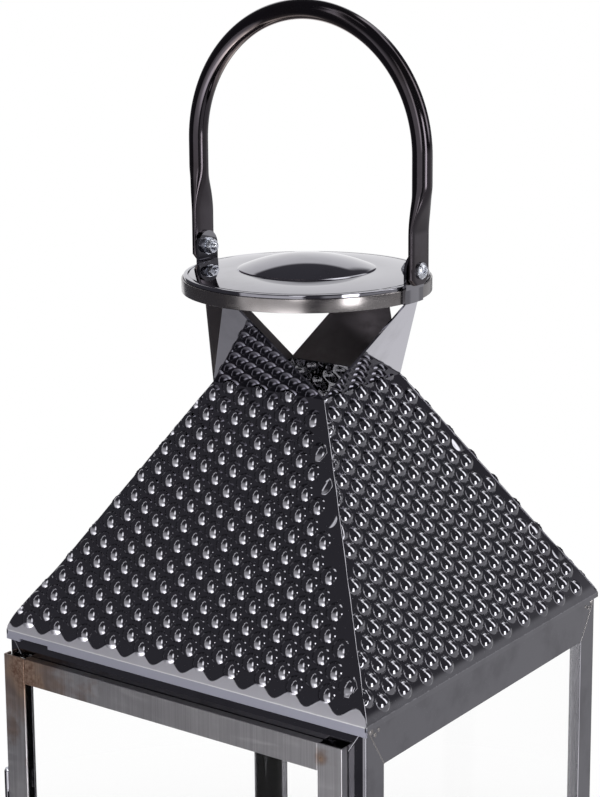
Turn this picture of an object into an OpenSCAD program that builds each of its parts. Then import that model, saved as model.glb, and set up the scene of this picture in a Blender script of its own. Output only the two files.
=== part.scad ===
// Square garden lantern: angle-post frame with glass, embossed hip roof, open neck, round cap and bail handle.
// The origin is the centre of the base on the floor. The door faces -Y.

/* [Body] */
// Width and depth of the frame over the outer faces of the posts
body_w = 218; // [180:1:260]
// Height from the floor to the eave
body_h = 285; // [260:1:400]
// Width of each leg of the angle posts
post_w = 15; // [12:0.5:20]
// Height of the rails round the top and the bottom of the frame
rail_h = 23; // [18:0.5:34]
// Thickness of the folded sheet
sheet_t = 1; // [0.8:0.1:1.3]
// Outer radius of the fold along each post
fold_r = 2; // [1.5:0.1:4]

/* [Roof] */
// Height of the roof from the eave to its open top
roof_rise = 124; // [90:1:160]
// Width of the open square at the roof's top
roof_top_w = 68; // [56:1:80]
// Depth of the folded lip over the door
front_lip = 5; // [3:0.5:8]
// Depth of the folded lip on the other three sides
side_lip = 2.5; // [1.5:0.5:6]
// Distance between neighbouring bosses of the embossed sheet
boss_pitch = 10.5; // [10:0.5:16]
// Radius of each round boss where it leaves the sheet
boss_r = 4.7; // [3:0.1:4.8]
// Height of each boss above the sheet
boss_h = 2.6; // [1:0.1:3.5]
// Plain margin that the bosses leave along the eave and the top
boss_margin = 2.4; // [1:0.1:6]
// Plain margin that the bosses leave along the hips
boss_hip_margin = 0.4; // [0.2:0.1:6]
// Sideways shift of the pattern on the door side
front_boss_shift = 3.3; // [-5:0.1:5]
// Sideways shift of the pattern on the other sides
side_boss_shift = -0.9; // [-5:0.1:5]
// Distance from the eave to the pattern's first row on the door side
front_boss_start = 4.6; // [0:0.1:12]
// Distance from the eave to the pattern's first row on the other sides
side_boss_start = 7.3; // [0:0.1:12]

/* [Neck and cap] */
// Height of the neck between the roof and the cap's band
neck_h = 46; // [34:1:70]
// Width of a neck plate where it meets the band
neck_tip_w = 9.6; // [6:0.2:14]
// Outer diameter of the cap's band
cap_d = 126; // [110:1:140]
// Height of the cap's band
band_h = 6.8; // [5:0.2:10]
// Height of the disc's turned edge above the band
disc_edge_h = 1.8; // [0.6:0.1:3]
// Rise of the disc from its edge to the dome
disc_rise = 2.2; // [0.5:0.1:5]
// Diameter of the dome pressed into the disc
dome_d = 69; // [40:1:84]
// Height of the dome above its own edge
dome_h = 7; // [3:0.5:12]

/* [Handle] */
// Diameter of the round handle tube
tube_d = 10; // [8:0.5:12]
// Height of the handle above its pivots
handle_h = 128.5; // [118:0.5:170]
// Height of the pivots above the cap's band
pivot_rise = 9.2; // [8.5:0.1:14]
// Width of the two bracket straps
strap_w = 16; // [12:0.5:17]
// Thickness of the bracket straps
strap_t = 1.5; // [1:0.1:2.5]
// Thickness of the handle's flattened ends
tab_t = 3; // [2:0.1:4]
// Length of the flattened end below the pivot
tab_below = 7; // [5:0.5:8]
// Length of the flattened end above the pivot
tab_above = 20; // [19:0.5:26]
// Length over which the flat end turns back into the round tube
press_run = 22; // [10:1:24]
// Diameter of the pivot screws
screw_d = 4; // [3:0.5:5]
// Diameter of the screw heads
head_d = 8.2; // [7:0.2:10]
// Height of the screw heads
head_h = 2.6; // [1.6:0.2:4]

/* [Door] */
// Width of the strips of the door frame
door_strip_w = 13.5; // [12:0.5:18]
// Distance from the door's top and bottom edges to the frame's
door_end_inset = 11.5; // [8:0.5:15]
// Distance from the door's free edge to the frame's corner
door_side_inset = 9.5; // [7:0.5:11]
// Height of each butt hinge
hinge_h = 30; // [20:1:45]
// Distance from the door's ends to the nearer hinge
hinge_inset = 65; // [30:1:80]
// Diameter of the hinge barrels
barrel_d = 4.4; // [4:0.1:4.8]
// Diameter of the hinge pins
pin_d = 2.2; // [1.6:0.1:2.6]
// Diameter of the latch knob
knob_d = 12; // [8:0.5:16]
// Length of the latch knob in front of the door
knob_l = 12; // [9:0.5:18]
// Length of the latch tongue from the knob's axis
tongue_l = 12; // [9:0.5:13]
// Width of the latch tongue
tongue_w = 4.4; // [3.6:0.2:5]

/* [Glass] */
// Thickness of the glass panes
glass_t = 2.5; // [2:0.1:3]
// Width of the bent tabs that hold the panes
clip_w = 10; // [6:1:16]
// Length of each tab's finger over the glass
clip_l = 8; // [5:0.5:12]

/* [Hidden] */

// Fits and clearances
run_fit = 0.05;     // radial play of a pin or a screw in its bore
seat_gap = 0.05;    // play between two curved sheets that are welded together
part_gap = 0.3;     // play between pieces that move past each other
door_gap = 0.4;     // play between the closed door and the frame
glass_gap = 0.2;    // play round the panes
overrun = 3;        // how far a cutting shape runs past what it cuts

// Number of flats that stand for a circle
round_fn = 72;
small_fn = 32;

// Frame
body_a = body_w / 2;
inner_a = body_a - sheet_t;
eave_z = body_h;

// Roof
roof_a = body_a + sheet_t;
roof_t = roof_top_w / 2;
roof_top_z = eave_z + roof_rise;
slope_l = norm([roof_a - roof_t, roof_rise]);
slope_angle = atan2(roof_rise, roof_a - roof_t);
hip_angle = atan2(roof_a - roof_t, slope_l);
boss_ball_r = (boss_r * boss_r + boss_h * boss_h) / (2 * boss_h);
boss_root = sheet_t / 8;
column_pitch = boss_pitch * cos(30);
column_n = ceil(roof_a / column_pitch);
row_n = ceil(slope_l / boss_pitch);
hip_clear = (boss_r + boss_hip_margin) / cos(hip_angle);

// Neck and cap
cap_r = cap_d / 2;
cap_z = roof_top_z + neck_h;
band_top_z = cap_z + band_h;
neck_l = norm([cap_r - roof_t, neck_h]);
neck_angle = atan2(neck_h, roof_t - cap_r);
disc_r = cap_r - sheet_t - seat_gap;
disc_edge_z = band_top_z + disc_edge_h;
dome_z = disc_edge_z + disc_rise;
dome_r = dome_d / 2;
dome_ball_r = (dome_r * dome_r + dome_h * dome_h) / (2 * dome_h);

// Handle and its brackets
strap_in = cap_r + seat_gap;
strap_out = strap_in + strap_t;
pivot_z = band_top_z + pivot_rise;
tab_in = strap_out + part_gap;
tab_out = tab_in + tab_t;
tab_w = PI * tube_d / 2;
tab_chamfer = tab_w / 5;
leg_x = cap_r + part_gap + tube_d / 2;
arch_z = pivot_z + handle_h - tube_d / 2 - leg_x;
press_z = pivot_z + tab_above + press_run;
slice = tube_d / 100;
screw_r = screw_d / 2;
bore_r = screw_r + run_fit;
washer_t = screw_d / 5;
washer_r = head_d * 0.55;
nut_t = screw_d * 0.8;
nut_r = screw_d;
screw_end = strap_in - washer_t - nut_t - screw_d / 2;

// Door
door_t = 2 * sheet_t + glass_t + glass_gap;
door_back_y = -body_a - door_gap;
door_front_y = door_back_y - door_t;
door_left_x = -body_a + door_gap + sheet_t / 10;
door_right_x = body_a - door_side_inset;
door_bottom_z = door_end_inset;
door_top_z = body_h - door_end_inset;
door_glass_y = door_front_y + sheet_t + glass_gap / 2;

// Hinges
barrel_r = barrel_d / 2;
pin_r = pin_d / 2;
hinge_x = -body_a - barrel_r - glass_gap;
hinge_y = -body_a - barrel_r + door_gap;
hinge_leaf_w = post_w * 0.8;
knuckle_h = hinge_h / 3;
hinge_z = [door_bottom_z + hinge_inset, door_top_z - hinge_inset - hinge_h];

// Latch
latch_x = body_a - post_w - part_gap - tongue_w / 2;
latch_z = body_h / 2;
shaft_r = tongue_w / 3;
tongue_y = -inner_a + door_gap;
knob_r = knob_d / 2;

// Glass
pane_out = inner_a - glass_gap / 2;
pane_in = pane_out - glass_t;
pane_edge = body_a - fold_r - glass_gap;
pane_bottom_z = sheet_t + glass_gap / 2;
pane_top_z = eave_z - rail_h / 3;
door_pane_right = latch_x - shaft_r - part_gap;
door_pane_left = door_left_x + sheet_t + part_gap;
clip_span = body_w * 0.55;

metal = [0.17, 0.165, 0.18];
polish = [0.24, 0.235, 0.26];
door_metal = [0.30, 0.27, 0.26];
bolt_metal = [0.34, 0.34, 0.36];
pane = [0.80, 0.88, 0.88, 0.35];

// Turns a piece that is drawn on the door side to one of the four sides: front, right, back, left
module side(k) {
    rotate([0, 0, 90 * k]) children();
}

// The quarter of the plan that belongs to the door side, from one height to another
module quarter(z0, z1) {
    e = body_w;
    translate([0, 0, z0]) linear_extrude(z1 - z0) polygon([[0, 0], [-e, -e], [e, -e]]);
}

// A flat bar along the door side, mitred in plan, between two distances from the axis
module mitred_bar(outer, inner, z0, h) {
    translate([0, 0, z0]) linear_extrude(h)
        polygon([[-outer, -outer], [outer, -outer], [inner, -inner], [-inner, -inner]]);
}

// The outline of a rail on the door side, cut back to the posts' legs inside and run on past the frame's end
module rail_outline(z_end, z_in) {
    w = body_a - post_w;
    e = body_a + post_w;
    z_out = 2 * z_end - z_in;
    rotate([90, 0, 0]) linear_extrude(body_a + overrun)
        polygon([[-e, z_out], [e, z_out], [w, z_in], [-w, z_in]]);
}

module top_outline() {
    rail_outline(eave_z, eave_z - rail_h);
}

module bottom_outline() {
    rail_outline(0, rail_h);
}

module floor_pan() {
    color(metal) translate([-inner_a, -inner_a, 0]) cube([2 * inner_a, 2 * inner_a, sheet_t]);
}

// The plan of the front right corner, an inset d inside the frame's faces, with its corner rounded to r
module corner_block(d, r, run) {
    e = body_a - d;
    w = post_w - d + run;
    translate([e - w, -e]) square([w - r, w]);
    translate([e - w, r - e]) square([w, w - r]);
    translate([e - r, r - e]) circle(r = r, $fn = small_fn);
}

// Section of the post in the front right corner, an angle with a rounded fold
module post_section() {
    difference() {
        corner_block(0, fold_r, 0);
        corner_block(sheet_t, fold_r - sheet_t, overrun);
    }
}

module post(k) {
    color(metal) side(k) difference() {
        linear_extrude(eave_z) post_section();
        top_outline();
        bottom_outline();
        side(1) top_outline();
        side(1) bottom_outline();
    }
}

module bottom_rail(k) {
    color(metal) side(k) intersection() {
        mitred_bar(body_a, inner_a, 0, rail_h);
        bottom_outline();
    }
}

module top_rail(k) {
    color(metal) side(k) intersection() {
        mitred_bar(body_a, inner_a, eave_z - rail_h, rail_h);
        top_outline();
    }
}

// A flat sheet that leans: w0 wide at its foot and w1 at a distance l up the slope, run past both ends
module leaning_sheet(w0, w1, l) {
    k = (w1 - w0) / l;
    f0 = w0 - k * overrun;
    f1 = w1 + k * overrun;
    translate([0, 0, -sheet_t]) linear_extrude(sheet_t)
        polygon([[-f0, -overrun], [f0, -overrun], [f1, l + overrun], [-f1, l + overrun]]);
}

// One round boss of the embossed sheet, a cap of a ball let into the sheet
module boss() {
    intersection() {
        translate([0, 0, boss_h - boss_ball_r]) sphere(r = boss_ball_r, $fn = small_fn);
        translate([-boss_ball_r, -boss_ball_r, -boss_root]) cube(2 * boss_ball_r);
    }
}

function half_width(s) = roof_a - (roof_a - roof_t) * s / slope_l;

// Centres of the bosses on one side, in columns up the slope that alternate by half a pitch
function boss_places(shift, start) = [
    for (c = [-column_n:column_n])
        for (r = [0:row_n])
            let (x = shift + c * column_pitch)
            let (s = start + (r + (c % 2 == 0 ? 0 : 0.5)) * boss_pitch)
            if (abs(x) + hip_clear < half_width(s)
                && s > boss_r + boss_margin && s < slope_l - boss_r - boss_margin)
            [x, s]
];

module roof_panel(k, lip, shift, start) {
    color(metal) side(k) {
        intersection() {
            translate([0, -roof_a, eave_z]) rotate([slope_angle, 0, 0])
                leaning_sheet(roof_a + overrun, roof_t + overrun, slope_l);
            quarter(eave_z, roof_top_z);
        }
        mitred_bar(roof_a, body_a, eave_z - lip, lip);
        translate([0, -roof_a, eave_z]) rotate([slope_angle, 0, 0])
            for (p = boss_places(shift, start)) translate([p[0], p[1], 0]) boss();
    }
}

module neck_plate(k) {
    color(polish) side(k) intersection() {
        translate([0, -roof_t, roof_top_z]) rotate([neck_angle, 0, 0])
            leaning_sheet(roof_t, neck_tip_w / 2, neck_l);
        quarter(roof_top_z, cap_z);
    }
}

module cap_band() {
    color(polish) translate([0, 0, cap_z]) rotate_extrude($fn = round_fn)
        translate([cap_r - sheet_t, 0]) square([sheet_t, band_h]);
}

// The disc: a turned edge inside the band, a shallow cone and a dome in the middle
module cap_disc() {
    color(polish) rotate_extrude($fn = round_fn) {
        translate([disc_r - sheet_t, cap_z]) square([sheet_t, disc_edge_z - cap_z]);
        polygon([
            [disc_r, disc_edge_z], [dome_r - sheet_t, dome_z],
            [dome_r - sheet_t, dome_z - sheet_t], [disc_r, disc_edge_z - sheet_t]
        ]);
        intersection() {
            translate([0, dome_z + dome_h - dome_ball_r]) difference() {
                circle(r = dome_ball_r, $fn = 2 * round_fn);
                circle(r = dome_ball_r - sheet_t, $fn = 2 * round_fn);
            }
            translate([0, dome_z - sheet_t]) square([dome_r, dome_h + 2 * sheet_t]);
        }
    }
}

// A round bar along X from x0 to x1 at the height of the pivots
module pivot_bar(r, x0, x1) {
    translate([x0, 0, pivot_z]) rotate([0, 90, 0]) cylinder(r = r, h = x1 - x0, $fn = small_fn);
}

// A strap welded round the band, with a rounded upper end for the pivot
module bracket() {
    color(metal) difference() {
        union() {
            intersection() {
                translate([0, 0, cap_z]) difference() {
                    cylinder(r = strap_out, h = band_h + strap_t, $fn = round_fn);
                    translate([0, 0, -overrun])
                        cylinder(r = strap_in, h = band_h + strap_t + 2 * overrun, $fn = round_fn);
                }
                translate([0, -strap_w / 2, cap_z]) cube([2 * cap_r, strap_w, 2 * band_h]);
            }
            translate([strap_in, -strap_w / 2, band_top_z])
                cube([strap_t, strap_w, pivot_rise]);
            pivot_bar(strap_w / 2, strap_in, strap_out);
        }
        pivot_bar(bore_r, strap_in - overrun, strap_out + overrun);
    }
}

module mirrored_pair() {
    children();
    mirror([1, 0, 0]) children();
}

module pivot_screw() {
    head_x = tab_out + run_fit;
    pivot_bar(screw_r, screw_end, head_x + head_h / 2);
    translate([head_x, 0, pivot_z]) rotate([0, 90, 0]) intersection() {
        cylinder(d = head_d, h = head_h, $fn = small_fn);
        translate([0, 0, head_h - head_d]) sphere(r = head_d, $fn = round_fn);
    }
}

module pivot_nut() {
    difference() {
        translate([strap_in - washer_t - nut_t, 0, pivot_z]) rotate([0, 90, 0])
            cylinder(r = nut_r, h = nut_t, $fn = 6);
        pivot_bar(bore_r, screw_end, strap_in);
    }
}

module pivot_washer() {
    difference() {
        pivot_bar(washer_r, strap_in - washer_t, strap_in);
        pivot_bar(bore_r, strap_in - washer_t - overrun, strap_in + overrun);
    }
}

// The flattened end of the handle, chamfered below and drilled for the screw
module handle_end() {
    w = tab_w / 2;
    z0 = pivot_z - tab_below;
    z1 = pivot_z + tab_above;
    difference() {
        translate([tab_in, 0, 0]) rotate([90, 0, 90]) linear_extrude(tab_t) polygon([
            [-w, z1], [w, z1], [w, z0 + tab_chamfer], [w - tab_chamfer, z0],
            [tab_chamfer - w, z0], [-w, z0 + tab_chamfer]
        ]);
        pivot_bar(bore_r, tab_in - overrun, tab_out + overrun);
    }
    hull() {
        translate([tab_in, -w, z1 - slice]) cube([tab_t, tab_w, slice]);
        translate([leg_x, 0, press_z]) cylinder(d = tube_d - slice, h = slice, $fn = small_fn);
    }
    translate([leg_x, 0, press_z]) cylinder(d = tube_d, h = arch_z - press_z, $fn = small_fn);
}

module handle() {
    color(metal) {
        translate([0, 0, arch_z]) rotate([90, 0, 0]) rotate_extrude(angle = 180, $fn = round_fn)
            translate([leg_x, 0]) circle(d = tube_d, $fn = small_fn);
        mirrored_pair() handle_end();
    }
}

// A pane behind the posts' legs on the door side of the plan, between two places along that side
module side_pane(k, x0, x1) {
    color(pane) side(k) translate([x0, -pane_out, pane_bottom_z])
        cube([x1 - x0, glass_t, pane_top_z - pane_bottom_z]);
}

// Section of the tab that stands on the floor pan inside a pane
module floor_clip_section() {
    y = -pane_in + glass_gap / 2;
    translate([y, sheet_t]) square([clip_l, sheet_t]);
    translate([y, sheet_t]) square([sheet_t, clip_l]);
}

// Section of the tab that hangs from the top rail and reaches over a pane
module rail_clip_section() {
    y0 = -inner_a;
    y1 = -pane_in + glass_gap / 2;
    z = pane_top_z + glass_gap / 2;
    translate([y0, z]) square([y1 + sheet_t - y0, sheet_t]);
    translate([y0, z]) square([sheet_t, sheet_t + rail_h / 6]);
    translate([y1, z + sheet_t - clip_l]) square([sheet_t, clip_l]);
}

module clip_bar() {
    translate([-clip_w / 2, 0, 0]) rotate([90, 0, 90]) linear_extrude(clip_w) children();
}

module pane_clips() {
    color(metal) for (k = [1:3]) side(k) for (s = [-1, 1]) translate([s * clip_span / 2, 0, 0]) {
        clip_bar() floor_clip_section();
        clip_bar() rail_clip_section();
    }
}

// One barrel length of a hinge, from z up
module barrel(z, h) {
    translate([hinge_x, hinge_y, z]) cylinder(r = barrel_r, h = h, $fn = small_fn);
}

module pin_bore(z) {
    translate([hinge_x, hinge_y, z - overrun])
        cylinder(r = pin_r + run_fit, h = hinge_h + 2 * overrun, $fn = small_fn);
}

// The leaf on the post, with the two outer barrels
module hinge_leaf_fixed(z) {
    y1 = hinge_y + barrel_r + door_gap;
    difference() {
        union() {
            translate([-body_a - sheet_t, hinge_y, z])
                cube([sheet_t, hinge_leaf_w - body_a - hinge_y, hinge_h]);
            barrel(z, hinge_h);
        }
        translate([hinge_x - barrel_r - overrun, hinge_y - barrel_r - overrun, z + knuckle_h])
            cube([2 * barrel_r + 2 * overrun + sheet_t, y1 - hinge_y + barrel_r + overrun, knuckle_h]);
        pin_bore(z);
    }
}

// The leaf on the door's edge, with the middle barrel
module hinge_leaf_door(z) {
    z0 = z + knuckle_h + part_gap / 2;
    h = knuckle_h - part_gap;
    difference() {
        union() {
            translate([door_left_x - sheet_t, door_front_y, z0])
                cube([sheet_t, hinge_y - door_front_y, h]);
            barrel(z0, h);
        }
        pin_bore(z);
    }
}

module hinge_pin(z) {
    translate([hinge_x, hinge_y, z]) cylinder(r = pin_r, h = hinge_h, $fn = small_fn);
    translate([hinge_x, hinge_y, z + hinge_h]) cylinder(r = barrel_r * 0.8, h = pin_r, $fn = small_fn);
}

module hinge_leaves_fixed() {
    color(metal) for (z = hinge_z) hinge_leaf_fixed(z);
}

module hinge_leaves_door() {
    color(metal) for (z = hinge_z) hinge_leaf_door(z);
}

module hinge_pins() {
    color(bolt_metal) for (z = hinge_z) hinge_pin(z);
}

// A door strip from x0 to x1 and z0 to z1, with only its front sheet
module door_face(x0, x1, z0, z1) {
    translate([x0, door_front_y, z0]) cube([x1 - x0, sheet_t, z1 - z0]);
}

module door_stile_hinge() {
    h = door_top_z - door_bottom_z;
    color(door_metal) {
        door_face(door_left_x, door_left_x + door_strip_w, door_bottom_z, door_top_z);
        translate([door_left_x, door_front_y, door_bottom_z]) cube([sheet_t, door_t, h]);
    }
}

module door_stile_latch() {
    h = door_top_z - door_bottom_z;
    color(door_metal) difference() {
        union() {
            door_face(door_right_x - door_strip_w, door_right_x, door_bottom_z, door_top_z);
            translate([door_right_x - sheet_t, door_front_y, door_bottom_z]) cube([sheet_t, door_t, h]);
        }
        latch_bar(shaft_r + run_fit, door_front_y - overrun, door_front_y + sheet_t + overrun);
    }
}

// A cross rail between the stiles: its face and a flange along its outer edge
module door_rail(z0, flange_z) {
    x0 = door_left_x + door_strip_w;
    x1 = door_right_x - door_strip_w;
    color(door_metal) {
        door_face(x0, x1, z0, z0 + door_strip_w);
        translate([x0, door_front_y, flange_z]) cube([x1 - x0, door_t, sheet_t]);
    }
}

module door_rail_top() {
    door_rail(door_top_z - door_strip_w, door_top_z - sheet_t);
}

module door_rail_bottom() {
    door_rail(door_bottom_z, door_bottom_z);
}

module door_glass() {
    z0 = door_bottom_z + sheet_t + part_gap;
    z1 = door_top_z - sheet_t - part_gap;
    color(pane) translate([door_pane_left, door_glass_y, z0])
        cube([door_pane_right - door_pane_left, glass_t, z1 - z0]);
}

// Flat tabs behind the door's glass, welded to the stiles' flanges
module door_clips() {
    x0 = door_left_x + sheet_t;
    x1 = door_right_x - sheet_t;
    reach = door_strip_w - sheet_t;
    inset = (door_top_z - door_bottom_z) / 4;
    color(metal) for (z = [door_bottom_z + inset, door_top_z - inset]) {
        translate([x0, door_back_y - sheet_t, z - clip_w / 2]) cube([reach, sheet_t, clip_w]);
        translate([x1 - reach, door_back_y - sheet_t, z - clip_w / 2]) cube([reach, sheet_t, clip_w]);
    }
}

// A round bar along Y from y0 to y1 on the latch's axis
module latch_bar(r, y0, y1) {
    translate([latch_x, y1, latch_z]) rotate([90, 0, 0]) cylinder(r = r, h = y1 - y0, $fn = small_fn);
}

// The knob with its collar, neck and shaft, turned from one bar and headed over behind the tongue
module latch_knob() {
    y0 = door_front_y - part_gap;
    collar = knob_l / 8;
    color(bolt_metal) {
        latch_bar(shaft_r, y0 - knob_l / 2, tongue_y + sheet_t + run_fit + collar / 2);
        latch_bar(knob_r * 0.6, y0 - collar, y0);
        latch_bar(tongue_w / 2, tongue_y + sheet_t + run_fit, tongue_y + sheet_t + run_fit + collar);
        translate([latch_x, y0, latch_z]) rotate([90, 0, 0]) rotate_extrude($fn = small_fn) intersection() {
            translate([0, knob_l - knob_r * 1.25]) circle(r = knob_r * 1.25, $fn = round_fn);
            translate([0, knob_l / 2]) square([knob_r, knob_l / 2]);
        }
    }
}

// The tongue hangs beside the post's leg and turns up behind it to hold the door shut
module latch_tongue() {
    w = tongue_w / 2;
    color(metal) difference() {
        union() {
            latch_bar(w, tongue_y, tongue_y + sheet_t);
            translate([latch_x - w, tongue_y, latch_z - tongue_l]) cube([tongue_w, sheet_t, tongue_l]);
        }
        latch_bar(shaft_r + run_fit, tongue_y - overrun, tongue_y + sheet_t + overrun);
    }
}

floor_pan();
post(0);  // post_front_right
post(1);  // post_back_right
post(2);  // post_back_left
post(3);  // post_front_left
bottom_rail(0);  // bottom_rail_front
bottom_rail(1);  // bottom_rail_right
bottom_rail(2);  // bottom_rail_back
bottom_rail(3);  // bottom_rail_left
top_rail(0);  // top_rail_front
top_rail(1);  // top_rail_right
top_rail(2);  // top_rail_back
top_rail(3);  // top_rail_left
roof_panel(0, front_lip, front_boss_shift, front_boss_start);  // roof_panel_front
roof_panel(1, side_lip, side_boss_shift, side_boss_start);  // roof_panel_right
roof_panel(2, side_lip, side_boss_shift, side_boss_start);  // roof_panel_back
roof_panel(3, side_lip, side_boss_shift, side_boss_start);  // roof_panel_left
neck_plate(0);  // neck_plate_front
neck_plate(1);  // neck_plate_right
neck_plate(2);  // neck_plate_back
neck_plate(3);  // neck_plate_left
cap_band();
cap_disc();
bracket();  // bracket_right
mirror([1, 0, 0]) bracket();  // bracket_left
color(bolt_metal) mirrored_pair() pivot_screw();  // pivot_screws
color(bolt_metal) mirrored_pair() pivot_nut();  // pivot_nuts
color(bolt_metal) mirrored_pair() pivot_washer();  // pivot_washers
side_pane(1, -pane_edge, pane_in - glass_gap);  // glass_right
side_pane(2, -pane_edge, pane_edge);  // glass_back
side_pane(3, glass_gap - pane_in, pane_edge);  // glass_left
pane_clips();
hinge_leaves_fixed();
hinge_pins();
hinge_leaves_door();
door_stile_hinge();
door_stile_latch();
door_rail_top();
door_rail_bottom();
door_glass();
door_clips();
latch_knob();
latch_tongue();
handle();
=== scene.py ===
"""Looks of a square garden lantern with an embossed hip roof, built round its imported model.

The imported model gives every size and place. The pieces here stand on it, in metres and in the same frame.
"""

from __future__ import annotations

import logging
import math
from dataclasses import dataclass
from enum import Enum

import bmesh
import bpy
import numpy as np
from mathutils import Matrix, Vector

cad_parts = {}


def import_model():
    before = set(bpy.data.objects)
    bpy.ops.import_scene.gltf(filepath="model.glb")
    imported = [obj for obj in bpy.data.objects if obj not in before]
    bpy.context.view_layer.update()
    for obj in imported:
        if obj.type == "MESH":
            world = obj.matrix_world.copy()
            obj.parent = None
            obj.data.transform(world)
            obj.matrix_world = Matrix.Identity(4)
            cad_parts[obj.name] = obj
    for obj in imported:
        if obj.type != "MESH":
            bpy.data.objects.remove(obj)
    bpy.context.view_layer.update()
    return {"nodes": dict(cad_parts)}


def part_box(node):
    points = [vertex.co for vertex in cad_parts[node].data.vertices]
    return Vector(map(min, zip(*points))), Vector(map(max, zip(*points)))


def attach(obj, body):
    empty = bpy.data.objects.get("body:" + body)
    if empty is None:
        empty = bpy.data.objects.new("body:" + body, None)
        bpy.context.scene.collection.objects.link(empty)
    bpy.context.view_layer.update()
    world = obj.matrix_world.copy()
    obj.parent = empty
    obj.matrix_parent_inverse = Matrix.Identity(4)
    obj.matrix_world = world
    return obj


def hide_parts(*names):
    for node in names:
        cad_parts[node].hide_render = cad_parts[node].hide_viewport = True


MM = 0.001
TOUCH = 0.001 * MM
JOIN = 0.02 * MM
WHITE = (1.0, 1.0, 1.0, 1.0)
LOG = logging.getLogger("lantern")
Colour = tuple[float, float, float]


class Body(Enum):
    """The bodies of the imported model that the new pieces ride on."""

    FRAME = "frame"
    HANDLE = "handle"


class Slot(Enum):
    """Names of the record's material slots."""

    NICKEL = "black_nickel_steel"
    POLISH = "polished_black_nickel"
    ZINC = "zinc_steel"


class Side(Enum):
    """The four sides of the lantern, with the quarter turns from the door side."""

    FRONT = 0
    RIGHT = 1
    BACK = 2
    LEFT = 3

    @property
    def turn(self) -> Matrix:
        """Rotation that takes a piece from the door side to this side."""
        return Matrix.Rotation(math.pi / 2 * self.value, 4, "Z")

    @property
    def word(self) -> str:
        """The side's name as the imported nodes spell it."""
        return self.name.lower()


# Meshes


def mesh_piece(name: str, points: np.ndarray, faces: list, sharp_deg: float = 38.0) -> bpy.types.Object:
    """Makes a smooth-shaded mesh object and links it to the scene.

    Args:
        name: Name of the piece.
        points: Points as rows of x, y, z in metres.
        faces: Faces as lists of point numbers.
        sharp_deg: Edges that bend more than this stay sharp.

    Returns:
        The new object, at the origin.
    """
    mesh = bpy.data.meshes.new(name)
    mesh.from_pydata(np.asarray(points, float).reshape(-1, 3).tolist(), [], faces)
    mesh.validate()
    mesh.update()
    mesh.shade_smooth()
    mesh.set_sharp_from_angle(angle=math.radians(sharp_deg))
    piece = bpy.data.objects.new(name, mesh)
    bpy.context.scene.collection.objects.link(piece)
    return piece


def grid_faces(rows: int, cols: int, wrap_rows: bool = False, wrap_cols: bool = False, start: int = 0) -> list:
    """Quads between neighbouring points of a grid.

    Args:
        rows: Number of rows.
        cols: Number of points in each row.
        wrap_rows: Whether the last row joins the first.
        wrap_cols: Whether each row's last point joins its first.
        start: Number of the grid's first point.

    Returns:
        The quads as lists of point numbers.
    """
    r = np.arange(rows if wrap_rows else rows - 1)[:, None]
    c = np.arange(cols if wrap_cols else cols - 1)[None, :]
    r1, c1 = (r + 1) % rows, (c + 1) % cols
    quads = np.stack(np.broadcast_arrays(r * cols + c, r * cols + c1, r1 * cols + c1, r1 * cols + c), -1)
    return (quads.reshape(-1, 4) + start).tolist()


def circle(steps: int) -> np.ndarray:
    """Angles of equal steps round a circle."""
    return np.linspace(0, 2 * math.pi, steps, endpoint=False)


def lathe_piece(name: str, profile: list, segments: int = 192, sharp_deg: float = 38.0) -> bpy.types.Object:
    """Turns a closed profile about the vertical axis.

    Args:
        name: Name of the piece.
        profile: Points (radius, height) in metres, counterclockwise in the radius-height plane.
        segments: Number of steps round the axis.
        sharp_deg: Edges that bend more than this stay sharp.

    Returns:
        The new object.
    """
    ring = circle(segments)
    rim = np.array(profile, float)
    points = np.stack(
        [
            rim[None, :, 0] * np.cos(ring)[:, None],
            rim[None, :, 0] * np.sin(ring)[:, None],
            np.broadcast_to(rim[None, :, 1], (segments, len(rim))),
        ],
        -1,
    )
    return mesh_piece(name, points, grid_faces(segments, len(rim), True, True), sharp_deg)


def loft(sections: np.ndarray, start: int = 0) -> tuple[np.ndarray, list]:
    """Skins closed sections and caps both ends.

    Args:
        sections: Array of sections, each a closed ring of points.
        start: Number of the first point.

    Returns:
        Points and faces.
    """
    rows, cols = sections.shape[:2]
    faces = grid_faces(rows, cols, wrap_cols=True, start=start)
    faces.append(list(range(start + cols - 1, start - 1, -1)))
    faces.append(list(range(start + (rows - 1) * cols, start + rows * cols)))
    return sections.reshape(-1, 3), faces


def loft_piece(name: str, parts: list, sharp_deg: float = 38.0) -> bpy.types.Object:
    """Makes one piece from several lofts.

    Args:
        name: Name of the piece.
        parts: Arrays of sections.
        sharp_deg: Edges that bend more than this stay sharp.

    Returns:
        The new object.
    """
    points, faces = [], []
    for sections in parts:
        more, quads = loft(np.asarray(sections, float), sum(len(p) for p in points))
        points.append(more)
        faces += quads
    return mesh_piece(name, np.vstack(points), faces, sharp_deg)


def smooth_step(x: np.ndarray, low: float, high: float) -> np.ndarray:
    """Rises smoothly from 0 at low to 1 at high."""
    t = np.clip((np.asarray(x, float) - low) / (high - low), 0, 1)
    return t * t * (3 - 2 * t)


def arc(centre: tuple, radius: float, first_deg: float, last_deg: float, steps: int) -> list:
    """Points (radius, height) of an arc in a profile, from one angle to another."""
    angles = np.radians(np.linspace(first_deg, last_deg, steps))
    return [(centre[0] + radius * math.cos(a), centre[1] + radius * math.sin(a)) for a in angles]


def settle(piece: bpy.types.Object, body: Body, material: bpy.types.Material) -> bpy.types.Object:
    """Gives a new piece its material and its body, and reports it.

    Args:
        piece: The new piece.
        body: Body that it rides on.
        material: Finish to put on.

    Returns:
        The same piece.
    """
    piece.data.materials.clear()
    piece.data.materials.append(material)
    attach(piece, body.value)
    LOG.info("piece %s rides on %s", piece.name, body.value)
    return piece


# Finishes


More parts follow.
